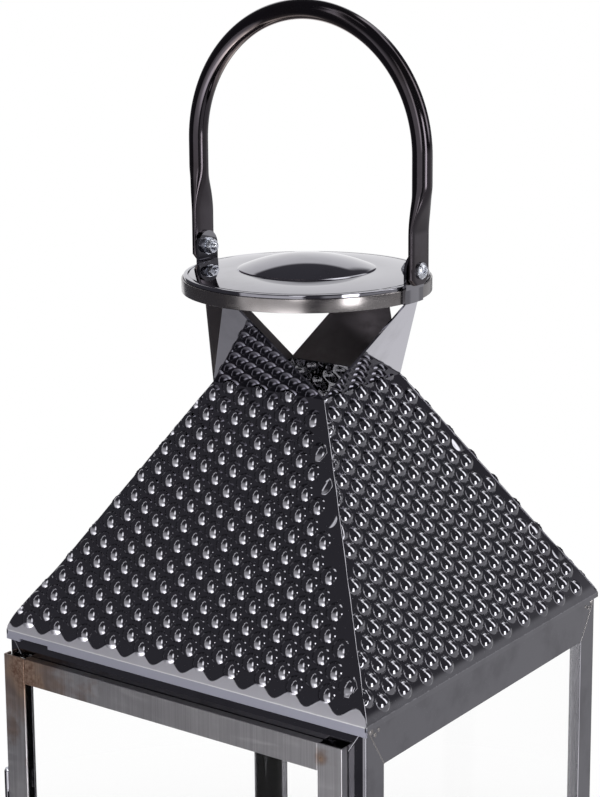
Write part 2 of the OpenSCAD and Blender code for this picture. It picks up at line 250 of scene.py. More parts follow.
class Sketch:
    """Short calls for adding and joining shader nodes in one tree."""

    def __init__(self, tree: bpy.types.NodeTree) -> None:
        """Takes the tree to work in."""
        self.tree = tree

    def add(self, kind: str, **values: object) -> bpy.types.Node:
        """Adds a node.

        Args:
            kind: Blender's name for the kind of node.
            values: Attributes to set on it.

        Returns:
            The new node.
        """
        node = self.tree.nodes.new(kind)
        for key, value in values.items():
            setattr(node, key, value)
        return node

    def link(self, source: bpy.types.NodeSocket, target: bpy.types.NodeSocket) -> None:
        """Joins two sockets."""
        self.tree.links.new(source, target)

    def feed(self, socket: bpy.types.NodeSocket, value: object) -> None:
        """Puts a value on a socket, or joins another socket to it.

        Args:
            socket: Input to feed.
            value: Number, colour or output socket.
        """
        if isinstance(value, bpy.types.NodeSocket):
            self.link(value, socket)
        else:
            socket.default_value = value

    def place(self) -> bpy.types.NodeSocket:
        """Place on the object, in metres."""
        return self.add("ShaderNodeTexCoord").outputs["Object"]

    def split(self, vector: bpy.types.NodeSocket) -> list:
        """Takes a place or a direction apart.

        Args:
            vector: Socket that gives it.

        Returns:
            The sockets of its x, y and z.
        """
        node = self.add("ShaderNodeSeparateXYZ")
        self.link(vector, node.inputs[0])
        return list(node.outputs)

    def math(self, operation: str, *values: object) -> bpy.types.NodeSocket:
        """Reckons with numbers.

        Args:
            operation: Blender's name for the operation.
            values: Up to three numbers or sockets.

        Returns:
            The result's socket.
        """
        node = self.add("ShaderNodeMath", operation=operation)
        for socket, value in zip(node.inputs, values):
            self.feed(socket, value)
        return node.outputs[0]

    def noise(
        self, vector: bpy.types.NodeSocket, scale: float, detail: float = 2.0, rough: float = 0.5
    ) -> bpy.types.NodeSocket:
        """Value of a noise texture.

        Args:
            vector: Place to read it at.
            scale: Size of the noise, in steps to the metre.
            detail: Number of finer layers.
            rough: Strength of the finer layers.

        Returns:
            The value's socket.
        """
        node = self.add("ShaderNodeTexNoise")
        self.link(vector, node.inputs["Vector"])
        for name, value in (("Scale", scale), ("Detail", detail), ("Roughness", rough)):
            node.inputs[name].default_value = value
        return node.outputs[0]

    def remap(
        self, value: object, low: object, high: object, to_low: object, to_high: object
    ) -> bpy.types.NodeSocket:
        """Takes a value smoothly from one range to another.

        Args:
            value: Number or socket.
            low: Where the first range begins.
            high: Where the first range ends.
            to_low: What low becomes.
            to_high: What high becomes.

        Returns:
            The new value's socket.
        """
        node = self.add("ShaderNodeMapRange", interpolation_type="SMOOTHSTEP")
        names = ("Value", "From Min", "From Max", "To Min", "To Max")
        for name, given in zip(names, (value, low, high, to_low, to_high)):
            self.feed(node.inputs[name], given)
        return node.outputs[0]

    def mix(self, factor: object, a: object, b: object, blend: str = "MIX") -> bpy.types.NodeSocket:
        """Mixes two colours.

        Args:
            factor: Share of the second colour.
            a: First colour.
            b: Second colour.
            blend: Blender's name for the way to mix.

        Returns:
            The colour's socket.
        """
        node = self.add("ShaderNodeMix", data_type="RGBA", blend_type=blend)
        for number, value in ((0, factor), (6, a), (7, b)):
            self.feed(node.inputs[number], value)
        return node.outputs[2]

    def stretched(self, vector: bpy.types.NodeSocket, scale: tuple) -> bpy.types.NodeSocket:
        """Scales the three directions of a place.

        Args:
            vector: Socket that gives the place.
            scale: Factors for x, y and z.

        Returns:
            The scaled place's socket.
        """
        node = self.add("ShaderNodeMapping")
        self.link(vector, node.inputs["Vector"])
        node.inputs["Scale"].default_value = scale
        return node.outputs[0]

    def bump(self, height: bpy.types.NodeSocket, depth: float, shader: bpy.types.Node) -> None:
        """Gives a shader a fine relief.

        Args:
            height: Socket of the relief's height, from 0 to 1.
            depth: What a height of 1 means, in metres.
            shader: Shader that shows it.
        """
        node = self.add("ShaderNodeBump")
        node.inputs["Distance"].default_value = depth
        self.link(height, node.inputs["Height"])
        self.link(node.outputs[0], shader.inputs["Normal"])


def new_group(name: str, numbers: dict, outputs: dict) -> tuple[bpy.types.NodeTree, Sketch, dict, dict]:
    """Starts a node group.

    Args:
        name: Name of the group.
        numbers: Input names with their usual values; a colour is a tuple.
        outputs: Output names with their socket types.

    Returns:
        The group, a sketch on it, its input sockets and its output sockets by name.
    """
    group = bpy.data.node_groups.new(name, "ShaderNodeTree")
    for label, value in numbers.items():
        kind = "NodeSocketColor" if isinstance(value, tuple) else "NodeSocketFloat"
        group.interface.new_socket(label, in_out="INPUT", socket_type=kind).default_value = value
    for label, kind in outputs.items():
        group.interface.new_socket(label, in_out="OUTPUT", socket_type=kind)
    sketch = Sketch(group)
    ins = sketch.add("NodeGroupInput").outputs
    outs = sketch.add("NodeGroupOutput").inputs
    return group, sketch, {s.name: s for s in ins}, {s.name: s for s in outs}


class Effects:
    """Node groups that several finishes share. Each is made once; scales are in steps to the metre."""

    blotches = 38.0
    wipes = (60.0, 60.0, 420.0)
    specks = 1900.0
    fine_lines = (2600.0, 2600.0, 22.0)
    broad_lines = (700.0, 700.0, 9.0)
    waves = 24.0
    grains = 900.0

    def __init__(self) -> None:
        """Builds the groups."""
        self.handling = self._handling()
        self.brushing = self._brushing()
        self.ripple = self._ripple()

    def _handling(self) -> bpy.types.NodeTree:
        """Smudges, dust specks and wipe marks on a polished face.

        Returns:
            The group.
        """
        group, s, ins, outs = new_group(
            "handling_marks",
            {"Roughness": 0.05, "Smudge": 0.05, "Speck": 0.2},
            {"Roughness": "NodeSocketFloat", "Mask": "NodeSocketFloat"},
        )
        place = s.place()
        blotch = s.remap(s.noise(place, self.blotches, 4.0, 0.62), 0.45, 0.72, 0.0, 1.0)
        wipe = s.remap(s.noise(s.stretched(place, self.wipes), 1.0, 3.0), 0.5, 0.75, 0.0, 0.6)
        speck = s.remap(s.noise(place, self.specks, 1.0), 0.74, 0.8, 0.0, 1.0)
        mask = s.math("MULTIPLY", s.math("ADD", blotch, wipe), ins["Smudge"])
        dust = s.math("MULTIPLY", speck, ins["Speck"])
        s.link(s.math("ADD", s.math("ADD", mask, dust), ins["Roughness"]), outs["Roughness"])
        s.link(blotch, outs["Mask"])
        return group

    def _brushing(self) -> bpy.types.NodeTree:
        """Lines of a brushed sheet, along the height.

        Returns:
            The group.
        """
        group, s, ins, outs = new_group("brushing", {"Fine": 1.0, "Broad": 0.6}, {"Lines": "NodeSocketFloat"})
        place = s.place()
        fine = s.noise(s.stretched(place, self.fine_lines), 1.0)
        broad = s.noise(s.stretched(place, self.broad_lines), 1.0)
        fine, broad = s.math("MULTIPLY", fine, ins["Fine"]), s.math("MULTIPLY", broad, ins["Broad"])
        s.link(s.math("ADD", fine, broad), outs["Lines"])
        return group

    def _ripple(self) -> bpy.types.NodeTree:
        """The slow waves and the orange-peel grain of plated sheet metal.

        Returns:
            The group.
        """
        group, s, ins, outs = new_group("sheet_ripple", {"Wave": 1.0, "Grain": 0.006}, {"Height": "NodeSocketFloat"})
        place = s.place()
        wave = s.math("MULTIPLY", s.noise(place, self.waves, 1.0), ins["Wave"])
        grain = s.math("MULTIPLY", s.noise(place, self.grains, 1.0), ins["Grain"])
        s.link(s.math("ADD", wave, grain), outs["Height"])
        return group


def place_group(sketch: Sketch, group: bpy.types.NodeTree, **values: object) -> dict:
    """Puts a node group in a tree with its own values.

    Args:
        sketch: Sketch on the material's tree.
        group: The group.
        values: Values of its inputs by name.

    Returns:
        The output sockets by name.
    """
    node = sketch.add("ShaderNodeGroup", node_tree=group)
    for name, value in values.items():
        sketch.feed(node.inputs[name], value)
    return {s.name: s for s in node.outputs}


def new_material(name: str, metallic: float) -> tuple[bpy.types.Material, Sketch, bpy.types.Node]:
    """Starts a material.

    Args:
        name: Name of the material.
        metallic: 1 for metal, 0 for anything else.

    Returns:
        The material, a sketch on its tree and its shader.
    """
    made = bpy.data.materials.new(name)
    made.use_nodes = True
    shader = made.node_tree.nodes["Principled BSDF"]
    shader.inputs["Metallic"].default_value = metallic
    return made, Sketch(made.node_tree), shader


@dataclass(frozen=True)
class PlatedSteel:
    """Dark nickel or zinc plating on steel. Faces that look down can take a lighter colour, partly a tint and partly
    a painted reflection of the floor below.
    """

    name: str
    colour: Colour
    stain: Colour
    roughness: float
    smudge: float
    wave: float = 1.0
    # Painted reflection, partly a tint: the lighter colour of faces that look down, and the range of their downward
    # tilt
    under: Colour | None = None
    under_range: tuple = (-0.8, -0.25)
    speck: float = 0.25
    depth: float = 0.04 * MM

    def material(self, effects: Effects) -> bpy.types.Material:
        """Builds the material.

        Args:
            effects: The shared effects.

        Returns:
            The new material.
        """
        made, s, shader = new_material(self.name, 1.0)
        marks = place_group(s, effects.handling, Roughness=self.roughness, Smudge=self.smudge, Speck=self.speck)
        tone = s.mix(marks["Mask"], (*self.colour, 1), (*self.stain, 1))
        # Painted reflection, partly a tint: faces that look down are mixed to a lighter colour
        if self.under:
            facing = s.split(s.add("ShaderNodeTexCoord").outputs["Normal"])
            tone = s.mix(s.remap(facing[2], *self.under_range, 1.0, 0.0), tone, (*self.under, 1))
        s.link(tone, shader.inputs["Base Color"])
        s.link(marks["Roughness"], shader.inputs["Roughness"])
        s.bump(place_group(s, effects.ripple, Wave=self.wave)["Height"], self.depth, shader)
        return made


@dataclass(frozen=True)
class EaveSteel:
    """The door side's sheet: polished above, with a satin margin and lip along the eave, both given lighter colours
    as painted reflection.

    Sizes in mm are measured up the slope from the fold. The margin rises in a finger between two columns of
    bosses, and a painted highlight lies along the fold's crease: its middle, its half width and where it ends.
    """

    name: str
    colour: Colour
    # Painted reflection: the margin's light colour, far lighter than the sheet's
    satin: Colour
    # Painted reflection: the lip's lighter colour
    lip: Colour
    eave_z: float
    steepness: float
    shift: float = 3.44 * MM
    period: float = 18.06 * MM
    margin_mm: float = 4.6
    finger_mm: float = 2.5
    edge_mm: tuple = (-0.5, 0.5)
    fold_mm: tuple = (-0.9, -0.2)
    # Painted highlight: where the pale line along the fold's crease sits, and how strongly it is mixed towards white
    crease_mm: tuple = (-0.3, 0.15, 0.45)
    crease_strength: float = 0.8
    roughness: float = 0.035
    satin_roughness: float = 0.4
    lip_roughness: float = 0.1
    smudge: float = 0.03
    speck: float = 0.25
    wave: float = 0.4
    depth: float = 0.04 * MM

    def material(self, effects: Effects) -> bpy.types.Material:
        """Builds the material.

        Args:
            effects: The shared effects.

        Returns:
            The new material.
        """
        made, s, shader = new_material(self.name, 1.0)
        x, _, z = s.split(s.place())
        up = s.math("DIVIDE", s.math("SUBTRACT", z, self.eave_z), self.steepness * MM)
        turn = s.math("MULTIPLY", s.math("SUBTRACT", x, self.shift), 2 * math.pi / self.period)
        edge = s.math("SUBTRACT", self.margin_mm, s.math("MULTIPLY", s.math("COSINE", turn), self.finger_mm))
        margin = s.remap(s.math("SUBTRACT", up, edge), *self.edge_mm, 1.0, 0.0)
        folded = s.remap(up, *self.fold_mm, 1.0, 0.0)
        middle, near, far = self.crease_mm
        away = s.math("ABSOLUTE", s.math("SUBTRACT", up, middle))
        # Painted highlight: a pale line along the fold's crease, mixed towards white
        crease_highlight = s.remap(away, near, far, self.crease_strength, 0.0)
        # Painted reflection: the margin and the lip are mixed to lighter colours than the sheet
        tone = s.mix(margin, (*self.colour, 1), (*self.satin, 1))
        tone = s.mix(folded, tone, (*self.lip, 1))
        s.link(s.mix(crease_highlight, tone, WHITE), shader.inputs["Base Color"])
        marks = place_group(s, effects.handling, Roughness=self.roughness, Smudge=self.smudge, Speck=self.speck)
        satin = s.math("MULTIPLY", margin, self.satin_roughness)
        satin = s.math("ADD", satin, s.math("MULTIPLY", folded, self.lip_roughness))
        s.link(s.math("ADD", marks["Roughness"], satin), shader.inputs["Roughness"])
        s.bump(place_group(s, effects.ripple, Wave=self.wave)["Height"], self.depth, shader)
        return made


@dataclass(frozen=True)
class BurntSteel:
    """Brushed door strips with the brown and straw tint that welding leaves round their joints.

    A zone is where a tint begins to fade and where it ends, in shares of the reach, and its strength. Patches and
    speckles are noises: steps to the metre, finer layers and their strength.
    """

    name: str
    colour: Colour
    brown: Colour
    straw: Colour
    scorch: Colour
    welds: tuple
    reach: float = 34.0 * MM
    brown_zone: tuple = (0.4, 1.3, 0.75)
    straw_zone: tuple = (0.2, 0.5, 0.45)
    scorch_zone: tuple = (0.12, 0.34, 0.9)
    rough_zone: tuple = (0.0, 0.5, 0.22)
    roughness: float = 0.36
    smudge: float = 0.1
    speck: float = 0.2
    stain: float = 0.8
    patches: tuple = (55.0, 4.0, 0.6)
    speckles: tuple = (420.0, 4.0, 0.7)
    depth: float = 0.02 * MM

    def away(self, s: Sketch, place: bpy.types.NodeSocket) -> bpy.types.NodeSocket:
        """Measures to the nearest weld, with a ragged edge.

        Args:
            s: Sketch on the material's tree.
            place: Socket of the place.

        Returns:
            The distance's socket; it is longer where a weld burnt the steel less.
        """
        nearest = None
        for weld, strength in self.welds:
            node = s.add("ShaderNodeVectorMath", operation="DISTANCE")
            s.link(place, node.inputs[0])
            node.inputs[1].default_value = weld
            gap = s.math("DIVIDE", node.outputs["Value"], strength)
            nearest = gap if nearest is None else s.math("MINIMUM", nearest, gap)
        ragged = s.remap(s.noise(place, *self.patches), 0.25, 0.75, 0.45, 1.6)
        return s.math("MULTIPLY", nearest, ragged)

    def zone(self, s: Sketch, away: bpy.types.NodeSocket, zone: tuple) -> bpy.types.NodeSocket:
        """Strength of a tint at a distance from the welds."""
        return s.remap(away, self.reach * zone[0], self.reach * zone[1], zone[2], 0.0)

    def material(self, effects: Effects) -> bpy.types.Material:
        """Builds the material.

        Args:
            effects: The shared effects.

        Returns:
            The new material.
        """
        made, s, shader = new_material(self.name, 1.0)
        place = s.place()
        lines = place_group(s, effects.brushing)["Lines"]
        marks = place_group(s, effects.handling, Roughness=self.roughness, Smudge=self.smudge, Speck=self.speck)
        away = self.away(s, place)
        colour = s.mix(marks["Mask"], (*self.colour, 1), (*[self.stain * c for c in self.colour], 1))
        colour = s.mix(self.zone(s, away, self.brown_zone), colour, (*self.brown, 1))
        colour = s.mix(self.zone(s, away, self.straw_zone), colour, (*self.straw, 1))
        speckle = s.remap(s.noise(place, *self.speckles), 0.35, 0.65, 0.15, 1.0)
        burnt = s.math("MULTIPLY", self.zone(s, away, self.scorch_zone), speckle)
        colour = s.mix(burnt, colour, (*self.scorch, 1))
        streak = s.remap(lines, 0.55, 1.05, 0.86, 1.12)
        s.link(s.mix(1.0, colour, streak, "MULTIPLY"), shader.inputs["Base Color"])
        scorched = s.math("ADD", marks["Roughness"], self.zone(s, away, self.rough_zone))
        s.link(scorched, shader.inputs["Roughness"])
        s.bump(lines, self.depth, shader)
        return made


@dataclass(frozen=True)
class ClearGlass:
    """Thin float glass with a little dust on it."""

    name: str = "pane_glass"
    index: float = 1.2
    smudge: float = 0.012
    speck: float = 0.02

    def material(self, effects: Effects) -> bpy.types.Material:
        """Builds the material.

        Args:
            effects: The shared effects.

        Returns:
            The new material.
        """
        made, s, shader = new_material(self.name, 0.0)
        shader.inputs["Base Color"].default_value = WHITE
        shader.inputs["Transmission Weight"].default_value = 1.0
        shader.inputs["IOR"].default_value = self.index
        marks = place_group(s, effects.handling, Roughness=0.0, Smudge=self.smudge, Speck=self.speck)
        s.link(marks["Roughness"], shader.inputs["Roughness"])
        return made


class Finishes:
    """Every finish of the lantern, made once."""

    def __init__(self, sizes: "Sizes") -> None:
        """Makes the materials.

        Args:
            sizes: Sizes of the lantern, for the eave's margin and the door's welds.
        """
        effects = Effects()

        def plated(name: str, colour: Colour, stain: Colour, *values: float, **more: Colour) -> bpy.types.Material:
            """A plated finish, from its fields in their order."""
            return PlatedSteel(name, colour, stain, *values, **more).material(effects)

        # Name, colour, stain, roughness, smudges and waves
        self.nickel = plated("black_nickel", (0.19, 0.187, 0.205), (0.15, 0.147, 0.162), 0.04, 0.04)
        self.sheet = plated("embossed_nickel", (0.2, 0.197, 0.216), (0.17, 0.167, 0.183), 0.04, 0.03, 0.4)
        self.polish = plated("mirror_nickel", (0.25, 0.246, 0.275), (0.21, 0.206, 0.23), 0.02, 0.03, 1.2)
        # Painted shade and reflection: the tube's dark colour is partly its own and partly painted shade, and its
        # underside is painted lighter, partly a brown tint
        self.tube = plated(
            "handle_nickel", (0.052, 0.046, 0.053), (0.042, 0.036, 0.04), 0.09, 0.06, 0.3, under=(0.26, 0.215, 0.2)
        )
        self.hoop = plated("band_nickel", (0.24, 0.225, 0.225), (0.19, 0.175, 0.17), 0.2, 0.1, 0.6)
        self.inside = plated("inner_nickel", (0.19, 0.172, 0.172), (0.15, 0.135, 0.132), 0.35, 0.15, 0.4)
        self.zinc = plated("fastener_zinc", (0.62, 0.64, 0.69), (0.45, 0.46, 0.5), 0.3, 0.12, 0.0)
        self.weld = plated("weld_metal", (0.3, 0.285, 0.285), (0.17, 0.15, 0.14), 0.3, 0.25, 0.0)
        _, rise, length = sizes.slope
        # Painted reflection and highlight: the eave's margin and lip take lighter colours, and its crease is mixed
        # towards white
        self.eave = EaveSteel(
            "eave_nickel", (0.2, 0.197, 0.216), (0.7, 0.69, 0.74), (0.4, 0.4, 0.47), sizes.eave_z, rise / length
        ).material(effects)
        self.door = BurntSteel(
            "burnt_door_steel", (0.41, 0.4, 0.415), (0.25, 0.17, 0.13), (0.33, 0.22, 0.14), (0.11, 0.055, 0.04),
            sizes.door_welds(),
        ).material(effects)
        self.glass = ClearGlass().material(effects)


# The lantern's sub-assemblies


@dataclass(frozen=True)
class Sizes:
    """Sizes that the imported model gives, in metres."""

    body_a: float
    eave_z: float
    roof_a: float
    roof_t: float
    roof_top_z: float
    cap_z: float
    band_top_z: float
    cap_r: float
    pivot_z: float
    handle_top_z: float
    door_low: tuple
    door_high: tuple
    strip_w: float

    @classmethod
    def read(cls) -> "Sizes":
        """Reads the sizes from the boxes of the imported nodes.

        Returns:
            The sizes.
        """
        post, rail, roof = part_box("post_front_right"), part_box("top_rail_front"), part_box("roof_panel_right")
        plate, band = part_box("neck_plate_front"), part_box("cap_band")
        washer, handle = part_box("pivot_washers"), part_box("handle")
        stile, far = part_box("door_stile_hinge"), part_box("door_stile_latch")
        return cls(
            body_a=post[1][0],
            eave_z=rail[1][2],
            roof_a=roof[1][0],
            roof_t=plate[1][0],
            roof_top_z=plate[0][2],
            cap_z=band[0][2],
            band_top_z=band[1][2],
            cap_r=band[1][0],
            pivot_z=(washer[0][2] + washer[1][2]) / 2,
            handle_top_z=handle[1][2],
            door_low=tuple(stile[0]),
            door_high=tuple(far[1]),
            strip_w=stile[1][0] - stile[0][0],
        )

    @property
    def slope(self) -> tuple[float, float, float]:
        """Run, rise and length of the roof's slope."""
        run, rise = self.roof_a - self.roof_t, self.roof_top_z - self.eave_z
        return run, rise, math.hypot(run, rise)

    def door_welds(self) -> tuple:
        """Finds the welds between the door's stiles and rails.

        Returns:
            For each its place and how far it burnt the steel, 1 being the furthest.
        """
        left, right = self.door_low[0] + self.strip_w - 3 * MM, self.door_high[0] - self.strip_w + 2 * MM
        inset = self.strip_w * 0.55
        top, foot = self.door_high[2] - inset, self.door_low[2] + inset
        welds = ((left, top, 1.0), (right, top, 0.12), (left, foot, 0.6), (right, foot, 0.8))
        return tuple(((x, self.door_low[1], z), burnt) for x, z, burnt in welds)


@dataclass(frozen=True)
class BossPattern:
    """Bosses pressed into a sheet in columns that alternate by half a pitch.

    Places on the sheet are x, across from its middle line, and s, up the slope from the eave.
    """

    shift: float
    start: float
    pitch: float
    stretch: float
    lean: float
    tilt: float
    left_fade: tuple
    right_fade: tuple
    ball_r: float = 5.69 * MM
    height: float = 2.4 * MM
    crown_r: float = 4.642 * MM
    first_row: float = 6.0 * MM
    turns: int = 24
    shares: tuple = (0.22, 0.42, 0.6, 0.76, 0.9, 1.0)

    def centres(self, half: float, low: float, high: float) -> np.ndarray:
        """Places of the pattern's cells.

        Args:
            half: How far they reach to either side.
            low: Where they begin up the slope.
            high: Where they end up the slope.

        Returns:
            Rows of x and s.
        """
        column = self.pitch * math.cos(math.radians(30)) * self.stretch
        count = math.ceil(half / column)
        places = []
        for c in range(-count, count + 1):
            for r in range(-2, math.ceil(high / self.pitch) + 2):
                x = self.shift + c * column
                s = self.start + (r + (0 if c % 2 == 0 else 0.5)) * self.pitch
                x, s = x + self.lean * s, s + self.tilt * x
                if low < s < high:
                    places.append((x, s))
        return np.array(places)

    def weight(self, x: np.ndarray, s: np.ndarray, half: np.ndarray) -> np.ndarray:
        """How fully the boss of a cell is pressed, from 0 to 1.

        Args:
            x: Cells' places across.
            s: Cells' places up the slope.
            half: Half of the sheet's width at the cells.

        Returns:
            A share for each cell; it fades towards the hips, and there is none on the eave's margin.
        """
        left = smooth_step(half + x, *self.left_fade)
        right = smooth_step(half - x, *self.right_fade)
        return left * right * (s > self.first_row)

    def cell(self) -> tuple[np.ndarray, list]:
        """Shapes one six-sided cell with a full boss.

        Returns:
            Points (x, s, height) and faces.
        """
        angle = circle(self.turns)
        edge = self.pitch / 2 / np.cos(angle % (math.pi / 3) - math.pi / 6)
        low = self.ball_r - self.height
        points = [np.array([[0, 0, self.height]])]
        for share in self.shares:
            r = self.crown_r * share
            up = math.sqrt(self.ball_r**2 - r**2) - low
            points.append(np.stack([r * np.cos(angle), r * np.sin(angle), np.full(self.turns, up)], -1))
        points.append(np.stack([edge * np.cos(angle), edge * np.sin(angle), 0 * angle], -1))
        faces = [[0, 1 + k, 1 + (k + 1) % self.turns] for k in range(self.turns)]
        faces += [quad[::-1] for quad in grid_faces(len(self.shares) + 1, self.turns, wrap_cols=True, start=1)]
        return np.vstack(points), faces


@dataclass(frozen=True)
class Roll:
    """How the sheet bows out above the eave: its reach up the slope and its rise, at both ends."""

    left: tuple
    right: tuple
    power: float = 1.8

    def rise(self, across: np.ndarray, s: np.ndarray) -> np.ndarray:
        """Height of the bowed margin.

        Args:
            across: Places across, from 0 at the left end to 1 at the right.
            s: Places up the slope.

        Returns:
            Heights off the flat sheet.
        """
        reach = self.left[0] + (self.right[0] - self.left[0]) * across
        top = self.left[1] + (self.right[1] - self.left[1]) * across
        return top * (1 - np.clip(1 - np.maximum(s, 0) / reach, 0, 1) ** self.power)


@dataclass(frozen=True)
class EmbossedPanel:
    """One leaning roof sheet with its bosses, its bowed margin and its folded lip."""

    side: Side
    pattern: BossPattern
    roll: Roll
    lip: float
    notch: tuple = ()
    bend: float = 0.7 * MM
    bend_steps: int = 4
    sheet: float = 0.8 * MM
    settle_run: float = 1.2 * MM
    roll_end: tuple = (12 * MM, 40 * MM)
    spare_side: float = 7 * MM
    spare_top: float = 6 * MM
    spare_foot: float = 8 * MM
    probe: float = 0.1 * MM

    def cells(self, sizes: Sizes) -> tuple[np.ndarray, list]:
        """Lays the pattern's cells out flat, a little beyond the sheet.

        Args:
            sizes: Sizes of the lantern.

        Returns:
            Points (x, s, height) and faces.
        """
        run, _, length = sizes.slope
        pattern = self.pattern
        spots = pattern.centres(sizes.roof_a + self.spare_side, -self.lip - self.spare_foot, length + self.spare_top)
        half = sizes.roof_a - run / length * np.clip(spots[:, 1], 0, None)
        kept = np.abs(spots[:, 0]) < half + self.spare_side
        spots, half = spots[kept], half[kept]
        share = pattern.weight(spots[:, 0], spots[:, 1], half)
        cell, quads = pattern.cell()
        x, s, height = (cell * np.array([pattern.stretch, 1, 1])).T
        cell = np.stack([x + pattern.lean * s, s + pattern.tilt * x, height], -1)
        flat = cell[None, :, :2] + spots[:, None, :]
        points = np.concatenate([flat, cell[None, :, 2:] * share[:, None, None]], -1).reshape(-1, 3)
        faces = [[i + base for i in quad] for base in range(0, len(points), len(cell)) for quad in quads]
        return points, faces

    def flat(self, sizes: Sizes) -> bmesh.types.BMesh:
        """The sheet laid flat, as points (x, s, height), trimmed to its outline.

        Args:
            sizes: Sizes of the lantern.

        Returns:
            The trimmed sheet.
        """
        run, _, length = sizes.slope
        points, faces = self.cells(sizes)
        laid = bpy.data.meshes.new("flat_sheet")
        laid.from_pydata(points.tolist(), [], faces)
        sheet = bmesh.new()
        sheet.from_mesh(laid)
        bpy.data.meshes.remove(laid)
        bmesh.ops.remove_doubles(sheet, verts=sheet.verts, dist=JOIN)
        cuts = [((0, length), (0, 1), True), ((0, -self.lip), (0, -1), True)]
        cuts += [((m * sizes.roof_a, 0), (m, lean), True) for lean in (run / length, 0) for m in (1, -1)]
        cuts += [((0, -self.bend * k / self.bend_steps), (0, 1), False) for k in range(self.bend_steps)]
        if self.notch:
            x0, x1, depth = self.notch
            cuts += [((x0, 0), (1, 0), False), ((x1, 0), (1, 0), False), ((0, depth - self.lip), (0, 1), False)]
        for (x, s), (nx, ns), clear in cuts:
            bmesh.ops.bisect_plane(
                sheet, geom=[*sheet.verts, *sheet.edges, *sheet.faces], dist=TOUCH,
                plane_co=(x, s, 0), plane_no=(nx, ns, 0), clear_outer=clear,
            )
        if self.notch:
            middles = [(face, face.calc_center_median()) for face in sheet.faces]
            inside = [face for face, at in middles if x0 < at.x < x1 and at.y < depth - self.lip]
            bmesh.ops.delete(sheet, geom=inside, context="FACES")
        return sheet

    def place(self, flat: np.ndarray, sizes: Sizes) -> np.ndarray:
        """Takes points of the flat sheet to the door side of the roof.

        Args:
            flat: Points (x, s, height).
            sizes: Sizes of the lantern.

        Returns:
            Points in the lantern's frame.
        """
        run, rise, length = sizes.slope
        x, s, boss = flat.T
        up, down = np.clip(s, 0, None), np.clip(-s, 0, None)
        half = sizes.roof_a - run / length * up
        across = (x / half + 1) / 2
        roll = self.roll.rise(across, s) * (1 - smooth_step(s, *self.roll_end))
        near_hip = smooth_step(half - np.abs(x), 0, self.settle_run)
        near_fold = smooth_step(s, 0, 2 * self.settle_run)
        height = roll + boss * near_hip * near_fold
        out = sizes.roof_a - up * run / length + height * rise / length
        z = sizes.eave_z + up * rise / length + height * run / length
        steep = np.arctan2(rise, run) + np.arctan(self.roll.rise(across, np.full_like(s, self.probe)) / self.probe)
        turn = np.minimum(steep + down / self.bend, math.pi / 2)
        straight = np.maximum(down - self.bend * (math.pi / 2 - steep), 0)
        out = np.minimum(out + self.bend * (np.sin(turn) - np.sin(steep)), sizes.roof_a)
        z = z + np.where(down > 0, self.bend * (np.cos(turn) - np.cos(steep)) - straight, 0)
        wide = x * (half + roll * rise / length) / half
        return np.stack([np.clip(wide, -sizes.roof_a, sizes.roof_a), -out, z], -1)

    def build(self, sizes: Sizes) -> bpy.types.Object:
        """Builds the sheet, outer and inner face and rim, as one closed mesh.

        Args:
            sizes: Sizes of the lantern.

        Returns:
            The new object.
        """
        sheet = self.flat(sizes)
        flat = np.array([v.co for v in sheet.verts])
        for vert, place in zip(sheet.verts, self.place(flat, sizes)):
            vert.co = place
        sheet.normal_update()
        outer = np.array([v.co for v in sheet.verts])
        inner = outer - np.array([v.normal for v in sheet.verts]) * self.sheet
        count = len(outer)
        faces = [[v.index for v in f.verts] for f in sheet.faces]
        rims = []
        for edge in sheet.edges:
            if edge.is_boundary:
                a, b = edge.link_loops[0].vert.index, edge.link_loops[0].link_loop_next.vert.index
                rims.append([b, a, a + count, b + count])
        sheet.free()
        back = [[i + count for i in face[::-1]] for face in faces]
        name = f"roof_sheet_{self.side.word}"
        piece = mesh_piece(name, np.vstack([outer, inner]), faces + back + rims, sharp_deg=40)
        piece.data.transform(self.side.turn)
        return piece


